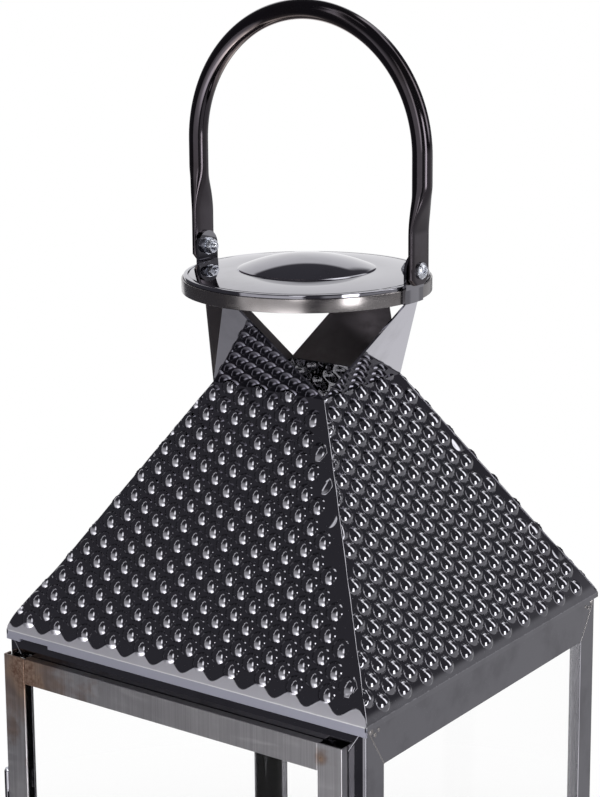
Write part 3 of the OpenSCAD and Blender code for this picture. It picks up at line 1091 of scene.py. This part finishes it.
@dataclass(frozen=True)
class Roof:
    """The four embossed sheets and the folded seams along the hips.

    A seam's section gives points as shares of its width, inwards from the hip, and of its thickness.
    """

    front_lip: float = 5.0 * MM
    side_lip: float = 2.5 * MM
    bowed: tuple = (9 * MM, 1.3 * MM)
    low: tuple = (5 * MM, 0.4 * MM)
    notch: tuple = (-101 * MM, -82 * MM, 1.7 * MM)
    seam_w: float = 0.9 * MM
    seam_t: float = 0.3 * MM
    seam_section: tuple = ((0.05, -0.9), (0.0, 0.7), (0.25, 1.0), (0.8, 0.9), (1.0, 0.5), (0.9, -0.9))
    seam_ends: tuple = (1.2 * MM, 0.2 * MM)
    seam_waves: tuple = (3.1 * MM, 13 * MM)
    seam_swell: float = 0.3
    stations: int = 121

    def patterns(self) -> tuple[BossPattern, BossPattern]:
        """Gives the two patterns of bosses.

        Returns:
            That of the door and back sheets, and that of the two side sheets.
        """
        door = BossPattern(
            shift=3.44 * MM, start=3.8 * MM, pitch=10.49 * MM, stretch=0.994, lean=0.0008, tilt=0.0143,
            left_fade=(-6 * MM, -3 * MM), right_fade=(5 * MM, 10 * MM),
        )
        side = BossPattern(
            shift=0.3 * MM, start=6.95 * MM, pitch=10.44 * MM, stretch=1.0166, lean=-0.0227, tilt=0.0085,
            left_fade=(-1 * MM, 1 * MM), right_fade=(2.5 * MM, 6.5 * MM),
        )
        return door, side

    def build(self, sizes: Sizes, finishes: Finishes) -> None:
        """Builds the sheets and seams and puts them on the frame.

        Args:
            sizes: Sizes of the lantern.
            finishes: All finishes.
        """
        door, side = self.patterns()
        panels = (
            EmbossedPanel(Side.FRONT, door, Roll(self.bowed, self.low), self.front_lip, self.notch),
            EmbossedPanel(Side.RIGHT, side, Roll(self.low, self.low), self.side_lip),
            EmbossedPanel(Side.BACK, door, Roll(self.low, self.low), self.side_lip),
            EmbossedPanel(Side.LEFT, side, Roll(self.low, self.bowed), self.side_lip),
        )
        for panel in panels:
            finish = finishes.eave if panel.side is Side.FRONT else finishes.sheet
            piece = settle(panel.build(sizes), Body.FRAME, finish)
            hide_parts(f"roof_panel_{panel.side.word}")
        settle(self.seams(sizes, (panels[1], panels[3])), Body.FRAME, finishes.nickel)

    def seams(self, sizes: Sizes, panels: tuple) -> bpy.types.Object:
        """Folds the edges of the door and back sheets over the side sheets along the hips.

        Args:
            sizes: Sizes of the lantern.
            panels: The two side sheets.

        Returns:
            The new object.
        """
        run, rise, length = sizes.slope
        normal = np.array([0, -rise, run]) / length
        s = np.linspace(self.seam_ends[0], length - self.seam_ends[1], self.stations)
        half = sizes.roof_a - run / length * s
        short, long = self.seam_waves
        wave = 1 + self.seam_swell * np.sin(s / short) * np.sin(s / long)
        parts = []
        for panel in panels:
            for mirror in (-1, 1):
                rows = []
                for inward, lift in self.seam_section:
                    flat = np.stack([mirror * (half - self.seam_w * inward * wave), s, 0 * s], -1)
                    rows.append(panel.place(flat, sizes) + normal * (self.seam_t * lift * wave)[:, None])
                block = np.stack(rows, 1)
                if mirror > 0:
                    block = block[:, ::-1]
                turned = block.reshape(-1, 3) @ np.array(panel.side.turn.to_3x3()).T
                parts.append(turned.reshape(block.shape))
        return loft_piece("hip_seams", parts)


@dataclass(frozen=True)
class Cap:
    """The band and the pressed lid with its dome.

    The groove's points are how far in from the lid's edge and how far over it they lie, in mm. Those of the step
    are the same, out from the dome and over its foot.
    """

    sheet: float = 1.0 * MM
    play: float = 0.05 * MM
    broken: float = 0.3 * MM
    edge_h: float = 1.8 * MM
    edge_r: float = 0.55 * MM
    edge_low: float = 0.5 * MM
    groove: tuple = ((2.0, 0.0), (2.4, -0.35), (2.9, 0.05))
    step: tuple = ((2.2, -0.25), (1.0, -0.4), (0.4, -0.3), (0.0, 0.05))
    disc_rise: float = 2.2 * MM
    dome_r: float = 34.5 * MM
    dome_h: float = 7.0 * MM
    dome_rings: int = 40
    middle_r: float = 0.02 * MM

    def build(self, sizes: Sizes, finishes: Finishes) -> None:
        """Builds the band and the lid and puts them on the frame.

        Args:
            sizes: Sizes of the lantern.
            finishes: All finishes.
        """
        band = settle(self.band(sizes), Body.FRAME, finishes.hoop)
        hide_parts("cap_band")
        lid = settle(self.lid(sizes), Body.FRAME, finishes.polish)
        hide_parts("cap_disc")

    def band(self, sizes: Sizes) -> bpy.types.Object:
        """The band: a flat hoop with slightly broken edges.

        Args:
            sizes: Sizes of the lantern.

        Returns:
            The new object.
        """
        r1, r0, z0, z1 = sizes.cap_r, sizes.cap_r - self.sheet, sizes.cap_z, sizes.band_top_z
        b = self.broken
        profile = arc((r1 - b, z0 + b), b, -90, 0, 5) + arc((r1 - b, z1 - b), b, 0, 90, 5)
        profile += arc((r0 + b, z1 - b), b, 90, 180, 4) + arc((r0 + b, z0 + b), b, 180, 270, 4)
        return lathe_piece("cap_band_ring", profile)

    def lid(self, sizes: Sizes) -> bpy.types.Object:
        """The lid: a turned edge, a fine groove, a shallow cone, a fine step and a dome.

        Args:
            sizes: Sizes of the lantern.

        Returns:
            The new object.
        """
        r = sizes.cap_r - self.sheet - self.play
        top = sizes.band_top_z + self.edge_h
        dome_z = top + self.disc_rise
        b = self.edge_r
        outer = [(r, sizes.cap_z), (r, top - b - self.edge_low)] + arc((r - b, top - b), b, 0, 82, 7)
        outer += [(r - across * MM, top + up * MM) for across, up in self.groove]
        outer += [(self.dome_r + across * MM, dome_z + up * MM) for across, up in self.step]
        ball = (self.dome_r**2 + self.dome_h**2) / (2 * self.dome_h)
        for k in range(1, self.dome_rings + 1):
            q = self.dome_r * (1 - k / self.dome_rings)
            outer.append((max(q, self.middle_r), dome_z + math.sqrt(ball**2 - q * q) - (ball - self.dome_h)))
        inner = [(min(q, r - self.sheet), z - self.sheet) for q, z in reversed(outer[2:])]
        inner.append((r - self.sheet, sizes.cap_z))
        return lathe_piece("cap_lid", outer + inner, sharp_deg=30)


@dataclass(frozen=True)
class PivotHardware:
    """Screws and nuts of the two straps that carry the handle."""

    screw_r: float = 2.0 * MM
    pitch: float = 0.7 * MM
    tooth: float = 0.3 * MM
    point: float = 0.8 * MM
    core_r: float = 0.4 * MM
    shank_turns: int = 28
    pitch_rings: int = 8
    head_r: float = 4.1 * MM
    head_h: float = 2.6 * MM
    head_drop: float = 0.62
    head_power: float = 3.2
    head_rings: int = 44
    head_middle: float = 0.004
    head_foot: float = 0.985
    recess_w: float = 0.55 * MM
    recess_l: float = 2.25 * MM
    recess_d: float = 1.5 * MM
    recess_turn: float = 0.35
    recess_soft: float = 0.7
    recess_flare: float = 1.25
    nut_corner: float = 4.0 * MM
    turns: int = 96

    def build(self, sizes: Sizes, finishes: Finishes) -> None:
        """Builds the fasteners and puts them on the frame.

        Args:
            sizes: Sizes of the lantern.
            finishes: All finishes.
        """
        screws = settle(self.screws(sizes), Body.FRAME, finishes.zinc)
        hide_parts("pivot_screws")
        nuts = settle(self.nuts(sizes), Body.FRAME, finishes.zinc)
        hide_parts("pivot_nuts")

    def ends(self, node: str) -> tuple[float, float]:
        """Where the right one of a packed pair begins and ends, along X."""
        along = [v.co.x for v in bpy.data.objects[node].data.vertices if v.co.x > 0]
        return min(along), max(along)

    def head(self, x: float) -> tuple[np.ndarray, list]:
        """A pan head with a cross recess, its crown towards +X.

        Args:
            x: Place of the head's seat.

        Returns:
            Points and faces.
        """
        radius = self.head_r * np.linspace(1, self.head_middle, self.head_rings)[:, None]
        angle = circle(self.turns)[None, :] + self.recess_turn
        crown = self.head_h * (1 - (radius / self.head_r) ** self.head_power * self.head_drop)
        u, v = radius * np.cos(angle), radius * np.sin(angle)
        depth = np.zeros_like(u)
        for a, b in ((u, v), (v, u)):
            across = 1 - smooth_step(np.abs(a), self.recess_w * self.recess_soft, self.recess_w * self.recess_flare)
            along = 1 - smooth_step(np.abs(b), self.recess_l * self.recess_soft, self.recess_l)
            depth = np.maximum(depth, self.recess_d * across * along)
        top = np.stack([np.broadcast_to(x + crown - depth, u.shape), u, v], -1)
        skirt = np.stack([np.full(self.turns, x), u[0] * self.head_foot, v[0] * self.head_foot], -1)[None]
        return loft(np.concatenate([skirt, top]))

    def shank(self, x0: float, x1: float) -> tuple[np.ndarray, list]:
        """A threaded shank with a chamfered end.

        Args:
            x0: Its chamfered end.
            x1: Its other end, in the head.

        Returns:
            Points and faces.
        """
        angle = circle(self.shank_turns)[None, :]
        x = np.linspace(x0, x1, int((x1 - x0) / self.pitch * self.pitch_rings))[:, None]
        phase = (x / self.pitch - angle / (2 * math.pi)) % 1
        groove = self.tooth * (np.abs(phase - 0.5) * 2)
        chamfer = self.point * (1 - smooth_step(x, x0, x0 + self.point))
        radius = np.maximum(self.screw_r - groove - chamfer, self.core_r)
        return loft(np.stack([np.broadcast_to(x, radius.shape), radius * np.cos(angle), radius * np.sin(angle)], -1))

    def screws(self, sizes: Sizes) -> bpy.types.Object:
        """Builds both pivot screws as one piece.

        Args:
            sizes: Sizes of the lantern.

        Returns:
            The new object.
        """
        start, crown = self.ends("pivot_screws")
        seat = crown - self.head_h
        points, faces = [], []
        for mirror in (1, -1):
            for made, quads in (self.head(seat), self.shank(start, seat + self.head_h / 3)):
                base = sum(len(p) for p in points)
                points.append(made * np.array([mirror, 1, 1]) + np.array([0, 0, sizes.pivot_z]))
                faces += [[i + base for i in (q if mirror > 0 else q[::-1])] for q in quads]
        return mesh_piece("pivot_screw_pair", np.vstack(points), faces, sharp_deg=34)

    def nuts(self, sizes: Sizes) -> bpy.types.Object:
        """Builds both hexagon nuts, with chamfered corners and holes, as one piece.

        Args:
            sizes: Sizes of the lantern.

        Returns:
            The new object.
        """
        x0, x1 = self.ends("pivot_nuts")
        corner, flat = self.nut_corner, self.nut_corner * math.cos(math.pi / 6)
        angle = circle(self.turns)
        hexagon = flat / np.cos((angle % (math.pi / 3)) - math.pi / 6)
        # Place of each ring along X, and the most that its radius may be
        rings = (
            (x0 + 0.35 * MM, 2.1 * MM), (x0, 2.5 * MM), (x0, flat * 0.97), (x0 + 0.3 * MM, flat * 1.06),
            (x0 + 0.6 * MM, corner), (x1 - 0.5 * MM, corner), (x1 - 0.25 * MM, flat * 1.06), (x1, flat * 0.97),
            (x1, 2.05 * MM),
        )
        parts = []
        for mirror in (1, -1):
            rows = []
            for x, limit in rings:
                radius = np.minimum(hexagon, limit)
                y, z = radius * np.cos(angle) * mirror, radius * np.sin(angle) + sizes.pivot_z
                rows.append(np.stack([np.full(self.turns, x * mirror), y, z], -1))
            parts.append(np.array(rows))
        return loft_piece("pivot_nut_pair", parts, sharp_deg=30)


@dataclass(frozen=True)
class BailHandle:
    """The tube of the handle, pressed flat at both ends.

    A section's power is 2 for an ellipse and more for a squarer oval.
    """

    tube_r: float = 5.0 * MM
    flat_t: float = 3.0 * MM
    flat_w: float = 15.7 * MM
    flat_power: float = 5.0
    flat_rings: int = 4
    below: float = 7.0 * MM
    above: float = 17.0 * MM
    press_run: float = 25.0 * MM
    press_rings: int = 24
    chamfer: float = 3.1 * MM
    chamfer_rings: int = 7
    broken: float = 0.25 * MM
    end_inset: tuple = (0.5 * MM, 0.4 * MM)
    arch_gap: float = 1 * MM
    around: int = 56
    arch_steps: int = 80

    def section(self, outward: Vector, centre: Vector, a: float, b: float, power: float) -> np.ndarray:
        """A closed ring between a circle and a flattened oval.

        Args:
            outward: Direction away from the handle's middle.
            centre: Centre of the ring.
            a: Half of its thickness along the outward direction.
            b: Half of its width along Y.
            power: Squareness of the oval.

        Returns:
            The ring's points.
        """
        angle = circle(self.around)
        c, s = np.cos(angle), np.sin(angle)
        u = a * np.sign(c) * np.abs(c) ** (2 / power)
        v = b * np.sign(s) * np.abs(s) ** (2 / power)
        return np.array(centre)[None] + u[:, None] * np.array(outward)[None] + v[:, None] * np.array([[0, 1.0, 0]])

    def leg(self, sizes: Sizes, flat_x: float, leg_x: float, arch_z: float) -> list:
        """Sizes of one leg's rings from its end up to the arch.

        Args:
            sizes: Sizes of the lantern.
            flat_x: Distance of the flat end's middle from the handle's middle.
            leg_x: Distance of the round leg's middle.
            arch_z: Height where the arch starts.

        Returns:
            Tuples of distance, height, half thickness, half width and power.
        """
        bottom, top = sizes.pivot_z - self.below, sizes.pivot_z + self.above
        thick, wide, power = self.flat_t / 2, self.flat_w / 2, self.flat_power
        thin, narrow = thick - self.end_inset[0], wide - self.chamfer - self.end_inset[1]
        rings = [(flat_x, bottom, thin, narrow, power)]
        for k in range(self.chamfer_rings):
            up = k / (self.chamfer_rings - 1) * self.chamfer
            rings.append((flat_x, bottom + self.broken + up, thick, wide - self.chamfer + up, power))
        for k in range(1, self.flat_rings + 1):
            z = bottom + self.chamfer + self.broken + (top - bottom - self.chamfer) * k / self.flat_rings
            rings.append((flat_x, z, thick, wide, power))
        start = rings[-1][1]
        for k in range(1, self.press_rings + 1):
            q = k / self.press_rings
            e, rounder = float(smooth_step(q, 0, 1)), float(smooth_step(q, 0, 0.8))
            rings.append((
                flat_x + (leg_x - flat_x) * e, start + self.press_run * q, thick + (self.tube_r - thick) * e,
                wide + (self.tube_r - wide) * e, power - (power - 2.0) * rounder,
            ))
        rings.append((leg_x, arch_z - self.arch_gap, self.tube_r, self.tube_r, 2.0))
        return rings

    def build(self, sizes: Sizes, finishes: Finishes) -> None:
        """Builds the tube and puts it on the handle's body.

        Args:
            sizes: Sizes of the lantern.
            finishes: All finishes.
        """
        leg_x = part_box("handle")[1][0] - self.tube_r
        arch_z = sizes.handle_top_z - self.tube_r - leg_x
        ends = [abs(v.co.x) for v in bpy.data.objects["handle"].data.vertices if v.co.z < sizes.pivot_z]
        rings = self.leg(sizes, (min(ends) + max(ends)) / 2, leg_x, arch_z)
        sections = [self.section(Vector((1, 0, 0)), Vector((x, 0, z)), a, b, p) for x, z, a, b, p in rings]
        for k in range(self.arch_steps + 1):
            turn = math.pi * k / self.arch_steps
            out = Vector((math.cos(turn), 0, math.sin(turn)))
            centre = Vector((0, 0, arch_z)) + out * leg_x
            sections.append(self.section(out, centre, self.tube_r, self.tube_r, 2.0))
        for x, z, a, b, p in reversed(rings):
            sections.append(self.section(Vector((-1, 0, 0)), Vector((-x, 0, z)), a, b, p))
        piece = loft_piece("bail_tube", [np.array(sections)], sharp_deg=42)
        settle(piece, Body.HANDLE, finishes.tube)
        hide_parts("handle")


@dataclass(frozen=True)
class FrameDress:
    """Finishes of the kept nodes, their broken edges, and the welds between them.

    Each drop is how far in from the corner and how far under the eave it sits, and its size, in mm. A bead's swell is
    its least, its crest, its ripple and the pace of that; its start is an inset and a share of its height.
    """

    bead_w: float = 0.7 * MM
    bead_h: float = 0.22 * MM
    bead_rings: int = 9
    bead_crown: float = 0.6
    bead_root: float = 0.5
    bead_swell: tuple = (0.55, 0.45, 0.12, 19)
    bead_start: tuple = (0.8 * MM, 0.05)
    edge: float = 0.35 * MM
    edge_deg: float = 40.0
    drops: tuple = ((4.5, 4.0, 1.5), (7.5, 6.5, 1.1), (10.5, 5.0, 0.9))
    drop_rings: int = 7
    drop_turns: int = 12
    drop_flat: float = 0.42
    drop_top: float = 0.02
    drop_wobble: tuple = (0.85, 1.15)
    seed: int = 7

    def build(self, sizes: Sizes, finishes: Finishes, nodes: dict) -> None:
        """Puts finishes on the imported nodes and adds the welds.

        Args:
            sizes: Sizes of the lantern.
            finishes: All finishes.
            nodes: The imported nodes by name.
        """
        for name, node in nodes.items():
            finish = self.finish_for(name, finishes)
            node.data.materials.clear()
            node.data.materials.append(finish)
            if finish is finishes.glass:
                node.visible_shadow = False
            if name.startswith(("door_stile", "door_rail", "post", "top_rail", "bottom_rail")):
                node.modifiers.new("joined_corners", "WELD").merge_threshold = TOUCH
                bevel = node.modifiers.new("broken_edges", "BEVEL")
                bevel.width, bevel.segments = self.edge, 2
                bevel.limit_method, bevel.angle_limit = "ANGLE", math.radians(self.edge_deg)
            LOG.info("node %s is finished in %s", name, finish.name)
        settle(self.mitres(sizes), Body.FRAME, finishes.weld)
        settle(self.blobs(sizes), Body.FRAME, finishes.weld)

    def finish_for(self, name: str, finishes: Finishes) -> bpy.types.Material:
        """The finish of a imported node.

        Args:
            name: Name of the node.
            finishes: All finishes.

        Returns:
            Its material.
        """
        choices = (
            (("glass", "door_glass"), finishes.glass),
            (("door_stile", "door_rail"), finishes.door),
            (("neck_plate_back", "neck_plate_left"), finishes.inside),
            (("neck", "cap"), finishes.polish),
            (("pivot", "hinge_pins", "latch_knob"), finishes.zinc),
        )
        for starts, finish in choices:
            if name.startswith(starts):
                return finish
        return finishes.nickel

    def bead(self, a: Vector, b: Vector, out: Vector) -> list:
        """Sections of a low weld bead on a face.

        Args:
            a: Where it begins.
            b: Where it ends.
            out: Direction that the face looks in.

        Returns:
            Its rings of points.
        """
        along = (b - a).normalized()
        across = along.cross(out).normalized()
        w, h = across * self.bead_w / 2, out * self.bead_h
        crown, root = self.bead_crown, self.bead_root
        least, crest, ripple, pace = self.bead_swell
        rings = []
        for k in range(self.bead_rings):
            q = k / (self.bead_rings - 1)
            swell = least + crest * math.sin(math.pi * q) + ripple * math.sin(pace * q)
            at = a.lerp(b, q)
            ring = (-w, -w * crown + h * swell, w * crown + h * swell, w, w * root - h, -w * root - h)
            rings.append([tuple(at + p) for p in ring])
        return rings

    def mitres(self, sizes: Sizes) -> bpy.types.Object:
        """Beads along the mitres between rails and posts; the door hides none at its side's top.

        Args:
            sizes: Sizes of the lantern.

        Returns:
            The new object.
        """
        post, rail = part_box("post_front_right"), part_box("top_rail_front")
        leg, height = post[1][0] - post[0][0], rail[1][2] - rail[0][2]
        inset, share = self.bead_start
        parts = []
        for side in Side:
            for mirror in (1, -1):
                for end, inner in ((sizes.eave_z, sizes.eave_z - height), (0.0, height)):
                    if side is Side.FRONT and end > 0:
                        continue
                    a = Vector((mirror * (sizes.body_a - inset), -sizes.body_a, end + (inner - end) * share))
                    b = Vector((mirror * (sizes.body_a - leg), -sizes.body_a, inner))
                    parts.append(self.bead(side.turn @ a, side.turn @ b, side.turn.to_3x3() @ Vector((0, -1, 0))))
        return loft_piece("mitre_beads", parts, sharp_deg=60)

    def blobs(self, sizes: Sizes) -> bpy.types.Object:
        """Small weld drops in the corners under the eave.

        Args:
            sizes: Sizes of the lantern.

        Returns:
            The new object.
        """
        rng = np.random.default_rng(self.seed)
        shape = (self.drop_rings, self.drop_turns)
        lat = np.linspace(self.drop_top, math.pi / 2, self.drop_rings)[:, None]
        lon = circle(self.drop_turns)[None, :]
        ball = np.stack(np.broadcast_arrays(
            np.sin(lat) * np.cos(lon), -self.drop_flat * np.cos(lat), np.sin(lat) * np.sin(lon)), -1)
        points, faces = [], []
        for side in (Side.RIGHT, Side.BACK, Side.LEFT):
            for away, drop, size in self.drops:
                for mirror in (1, -1):
                    centre = Vector((mirror * (sizes.body_a - away * MM), -sizes.body_a, sizes.eave_z - drop * MM))
                    wobble = rng.uniform(*self.drop_wobble, (*shape, 1))
                    placed = ball * wobble * size * MM + np.array(centre)
                    turned = placed.reshape(-1, 3) @ np.array(side.turn.to_3x3()).T
                    made, quads = loft(turned.reshape(*shape, 3), sum(len(p) for p in points))
                    points.append(made)
                    faces += quads
        return mesh_piece("corner_weld_drops", np.vstack(points), faces, sharp_deg=60)


# Studio


@dataclass(frozen=True)
class Studio:
    """Floor, world, lamps and the camera at the photograph's place.

    Angles of the camera are in radians. Each window of the metal's studio has its place across and up, its half
    width and half height and the softness of its sides and of its top and foot, in degrees, and its level. Each
    lamp has its direction across and up in degrees, its width and height, and its radiance.
    """

    azimuth: float = 0.6229
    yaw: float = 0.0035
    pitch: float = 0.193
    roll: float = -0.007
    distance: float = 1.00884
    height: float = 0.3639
    focal_px: float = 2041.4
    centre_px: tuple = (300.0, 294.89)
    photo_px: tuple = (600, 797)
    sensor_mm: float = 36.0
    floor_r: float = 0.95
    floor_rings: int = 24
    floor_turns: int = 96
    floor_spread: float = 1.5
    floor_under: float = 0.2 * MM
    floor_tone: float = 0.9
    floor_fade: tuple = (0.18, 0.5)
    dim: Colour = (0.1, 0.098, 0.112)
    windows: tuple = (
        (2.0, -40.0, 30.0, 58.0, 4.0, 30.0, 1.05), (8.0, -70.0, 24.0, 52.0, 8.0, 24.0, 1.4),
        (17.0, -72.0, 13.0, 48.0, 8.0, 20.0, 3.5), (28.0, 20.0, 6.0, 20.0, 4.0, 10.0, 1.7),
        (-28.0, 33.0, 3.0, 15.0, 3.0, 6.0, 2.2), (-34.0, 56.0, 6.0, 8.0, 5.0, 5.0, 2.0),
        (-20.0, 70.0, 28.0, 4.0, 6.0, 4.0, 1.2), (129.0, 28.0, 9.5, 24.0, 4.0, 8.0, 3.4),
        (158.0, 60.0, 32.0, 8.0, 6.0, 6.0, 2.6), (-174.0, 50.0, 9.0, 18.0, 6.0, 8.0, 1.6),
        (122.0, -31.0, 72.0, 28.0, 8.0, 6.0, 0.5), (76.0, 3.0, 8.0, 15.0, 3.0, 3.0, 8.0),
        (-138.0, -2.0, 20.0, 35.0, 4.0, 4.0, 1.0), (177.0, -40.0, 11.0, 9.0, 5.0, 5.0, 0.8),
        (-76.0, -54.0, 14.0, 10.0, 6.0, 6.0, 0.45), (0.0, -90.0, 181.0, 26.0, 1.0, 8.0, 0.8),
        (147.0, 0.0, 7.0, 13.0, 4.0, 8.0, 0.4),
    )
    boxes: tuple = (("box_front_right", 27, 16, 0.4, 0.8, 1.5), ("box_rear_right", 125, 26, 0.45, 1.1, 1.2))
    box_away: float = 1.6
    box_aim: tuple = (0, 0, 0.36)

    def build(self, sizes: Sizes) -> None:
        """Builds the whole studio.

        Args:
            sizes: Sizes of the lantern.
        """
        self.floor()
        self.world()
        for box in self.boxes:
            self.lamp(*box)
        self.camera(sizes)

    def seen(self, s: Sketch) -> tuple[bpy.types.NodeSocket, bpy.types.NodeSocket]:
        """Tells rays apart.

        Args:
            s: Sketch on a material's or the world's tree.

        Returns:
            Sockets that are 1 for what is seen straight or through glass, and for what is seen in metal.
        """
        path = s.add("ShaderNodeLightPath").outputs
        return s.math("MAXIMUM", path["Is Camera Ray"], path["Is Transmission Ray"]), path["Is Glossy Ray"]

    def floor(self) -> None:
        """A round pale floor that fades into the white surroundings and keeps the shadow."""
        radius = np.linspace(0.001, 1, self.floor_rings)[:, None] ** self.floor_spread * self.floor_r
        angle = circle(self.floor_turns)[None, :]
        points = np.stack(
            np.broadcast_arrays(radius * np.cos(angle), radius * np.sin(angle), -self.floor_under), -1
        )
        floor = mesh_piece("studio_floor", points, grid_faces(self.floor_rings, self.floor_turns, wrap_cols=True))
        floor.data.flip_normals()
        made, s, shader = new_material("studio_floor", 0.0)
        place = s.place()
        grain = s.remap(s.noise(place, 6.0, 3.0), 0.3, 0.7, 0.97, 1.0)
        tone = s.mix(1.0, (*[self.floor_tone] * 3, 1), grain, "MULTIPLY")
        s.link(tone, shader.inputs["Base Color"])
        shader.inputs["Roughness"].default_value = 0.9
        shader.inputs["Specular IOR Level"].default_value = 0.0
        away = s.add("ShaderNodeVectorMath", operation="LENGTH")
        s.link(place, away.inputs[0])
        seen, _ = self.seen(s)
        fade = s.math("MULTIPLY", s.remap(away.outputs["Value"], *self.floor_fade, 0.0, 1.0), seen)
        glow = s.add("ShaderNodeEmission")
        blend = s.add("ShaderNodeMixShader")
        for socket, source in zip(blend.inputs, (fade, shader.outputs[0], glow.outputs[0])):
            s.link(source, socket)
        s.link(blend.outputs[0], made.node_tree.nodes["Material Output"].inputs["Surface"])
        floor.data.materials.append(made)
        floor.visible_glossy = False

    def direction(self, azimuth_deg: float, elevation_deg: float) -> Vector:
        """Unit vector of a direction; azimuth 0 is the door side and grows towards +X."""
        a, e = math.radians(azimuth_deg), math.radians(elevation_deg)
        return Vector((math.sin(a) * math.cos(e), -math.cos(a) * math.cos(e), math.sin(e)))

    def world(self) -> None:
        """White to the eye; for the metal a dim studio with soft windows, a white table and a backdrop."""
        world = bpy.data.worlds.new("studio_world")
        bpy.context.scene.world = world
        world.use_nodes = True
        s = Sketch(world.node_tree)
        x, y, z = s.split(s.add("ShaderNodeTexCoord").outputs["Generated"])
        azimuth = s.math("DEGREES", s.math("ARCTAN2", x, s.math("MULTIPLY", y, -1.0)))
        elevation = s.math("DEGREES", s.math("ARCSINE", z))
        window = self.window_group()
        glossy = None
        names = ("Across", "Up", "Half Width", "Half Height", "Side Softness", "Top Softness", "Level")
        for values in self.windows:
            given = dict(zip(names, values))
            part = place_group(s, window, Azimuth=azimuth, Elevation=elevation, **given)["Level"]
            glossy = part if glossy is None else s.math("ADD", glossy, part)
        tone = s.add("ShaderNodeCombineColor")
        for socket, base in zip(tone.inputs, self.dim):
            s.link(s.math("ADD", glossy, base), socket)
        seen, in_metal = self.seen(s)
        level = s.mix(in_metal, WHITE, tone.outputs[0])
        s.link(s.mix(seen, level, WHITE), world.node_tree.nodes["Background"].inputs["Color"])

    def window_group(self) -> bpy.types.NodeTree:
        """A soft-edged bright field of the studio, in degrees of azimuth and elevation.

        Returns:
            The group.
        """
        group, s, ins, outs = new_group(
            "soft_window",
            {"Azimuth": 0.0, "Elevation": 0.0, "Across": 0.0, "Up": 0.0,
             "Half Width": 20.0, "Half Height": 20.0, "Side Softness": 6.0, "Top Softness": 6.0, "Level": 1.0},
            {"Level": "NodeSocketFloat"},
        )
        turned = s.math("WRAP", s.math("SUBTRACT", ins["Azimuth"], ins["Across"]), 180.0, -180.0)
        raised = s.math("SUBTRACT", ins["Elevation"], ins["Up"])
        inside = ins["Level"]
        for gap, half, softness in (
            (turned, ins["Half Width"], ins["Side Softness"]), (raised, ins["Half Height"], ins["Top Softness"]),
        ):
            soft = s.math("MULTIPLY", softness, 0.5)
            near, far = s.math("SUBTRACT", half, soft), s.math("ADD", half, soft)
            inside = s.math("MULTIPLY", inside, s.remap(s.math("ABSOLUTE", gap), near, far, 1.0, 0.0))
        s.link(inside, outs["Level"])
        return group

    def lamp(self, name: str, azimuth: float, elevation: float, width: float, height: float, radiance: float) -> None:
        """A soft box that faces the lantern.

        Args:
            name: Name of the lamp.
            azimuth: Direction from the lantern in degrees.
            elevation: Direction above the horizon in degrees.
            width: Width in metres.
            height: Height in metres.
            radiance: Brightness of its face.
        """
        light = bpy.data.lights.new(name, "AREA")
        light.shape = "RECTANGLE"
        light.size, light.size_y = width, height
        light.energy = radiance * math.pi * width * height
        lamp = bpy.data.objects.new(name, light)
        aim = self.direction(azimuth, elevation)
        lamp.location = Vector(self.box_aim) + aim * self.box_away
        lamp.rotation_euler = aim.to_track_quat("Z", "Y").to_euler()
        bpy.context.scene.collection.objects.link(lamp)

    def camera(self, sizes: Sizes) -> None:
        """The camera, fitted to the eave's corners, the roof's top and the cap in the photograph.

        Args:
            sizes: Sizes of the lantern.
        """
        turn = self.azimuth + self.yaw
        ahead = Vector((
            -math.sin(turn) * math.cos(self.pitch), math.cos(turn) * math.cos(self.pitch), -math.sin(self.pitch),
        ))
        right = Vector((math.cos(turn), math.sin(turn), 0))
        up = right.cross(ahead)
        right_rolled = right * math.cos(self.roll) + up * math.sin(self.roll)
        up_rolled = up * math.cos(self.roll) - right * math.sin(self.roll)
        aside, before = self.distance * math.sin(self.azimuth), self.distance * math.cos(self.azimuth)
        place = Vector((aside, -before, sizes.eave_z + self.height))
        data = bpy.data.cameras.new("photo_camera")
        camera = bpy.data.objects.new("photo_camera", data)
        rotation = Matrix((right_rolled, up_rolled, -ahead)).transposed()
        camera.matrix_world = Matrix.Translation(place) @ rotation.to_4x4()
        long_side = max(self.photo_px)
        data.sensor_width = self.sensor_mm
        data.lens = self.focal_px / long_side * self.sensor_mm
        data.shift_x = (self.photo_px[0] / 2 - self.centre_px[0]) / long_side
        data.shift_y = (self.centre_px[1] - self.photo_px[1] / 2) / long_side
        data.clip_start, data.clip_end = 0.05, 50.0
        bpy.context.scene.collection.objects.link(camera)
        bpy.context.scene.camera = camera


def main() -> None:
    """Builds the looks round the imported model, piece by piece, and reports them."""
    logging.basicConfig(level=logging.INFO, format="%(name)s: %(message)s")
    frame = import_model()
    sizes = Sizes.read()
    finishes = Finishes(sizes)
    Studio().build(sizes)
    FrameDress().build(sizes, finishes, frame["nodes"])
    Roof().build(sizes, finishes)
    Cap().build(sizes, finishes)
    PivotHardware().build(sizes, finishes)
    BailHandle().build(sizes, finishes)
    bpy.context.scene.view_settings.view_transform = "Standard"


if __name__ == "__main__":
    main()
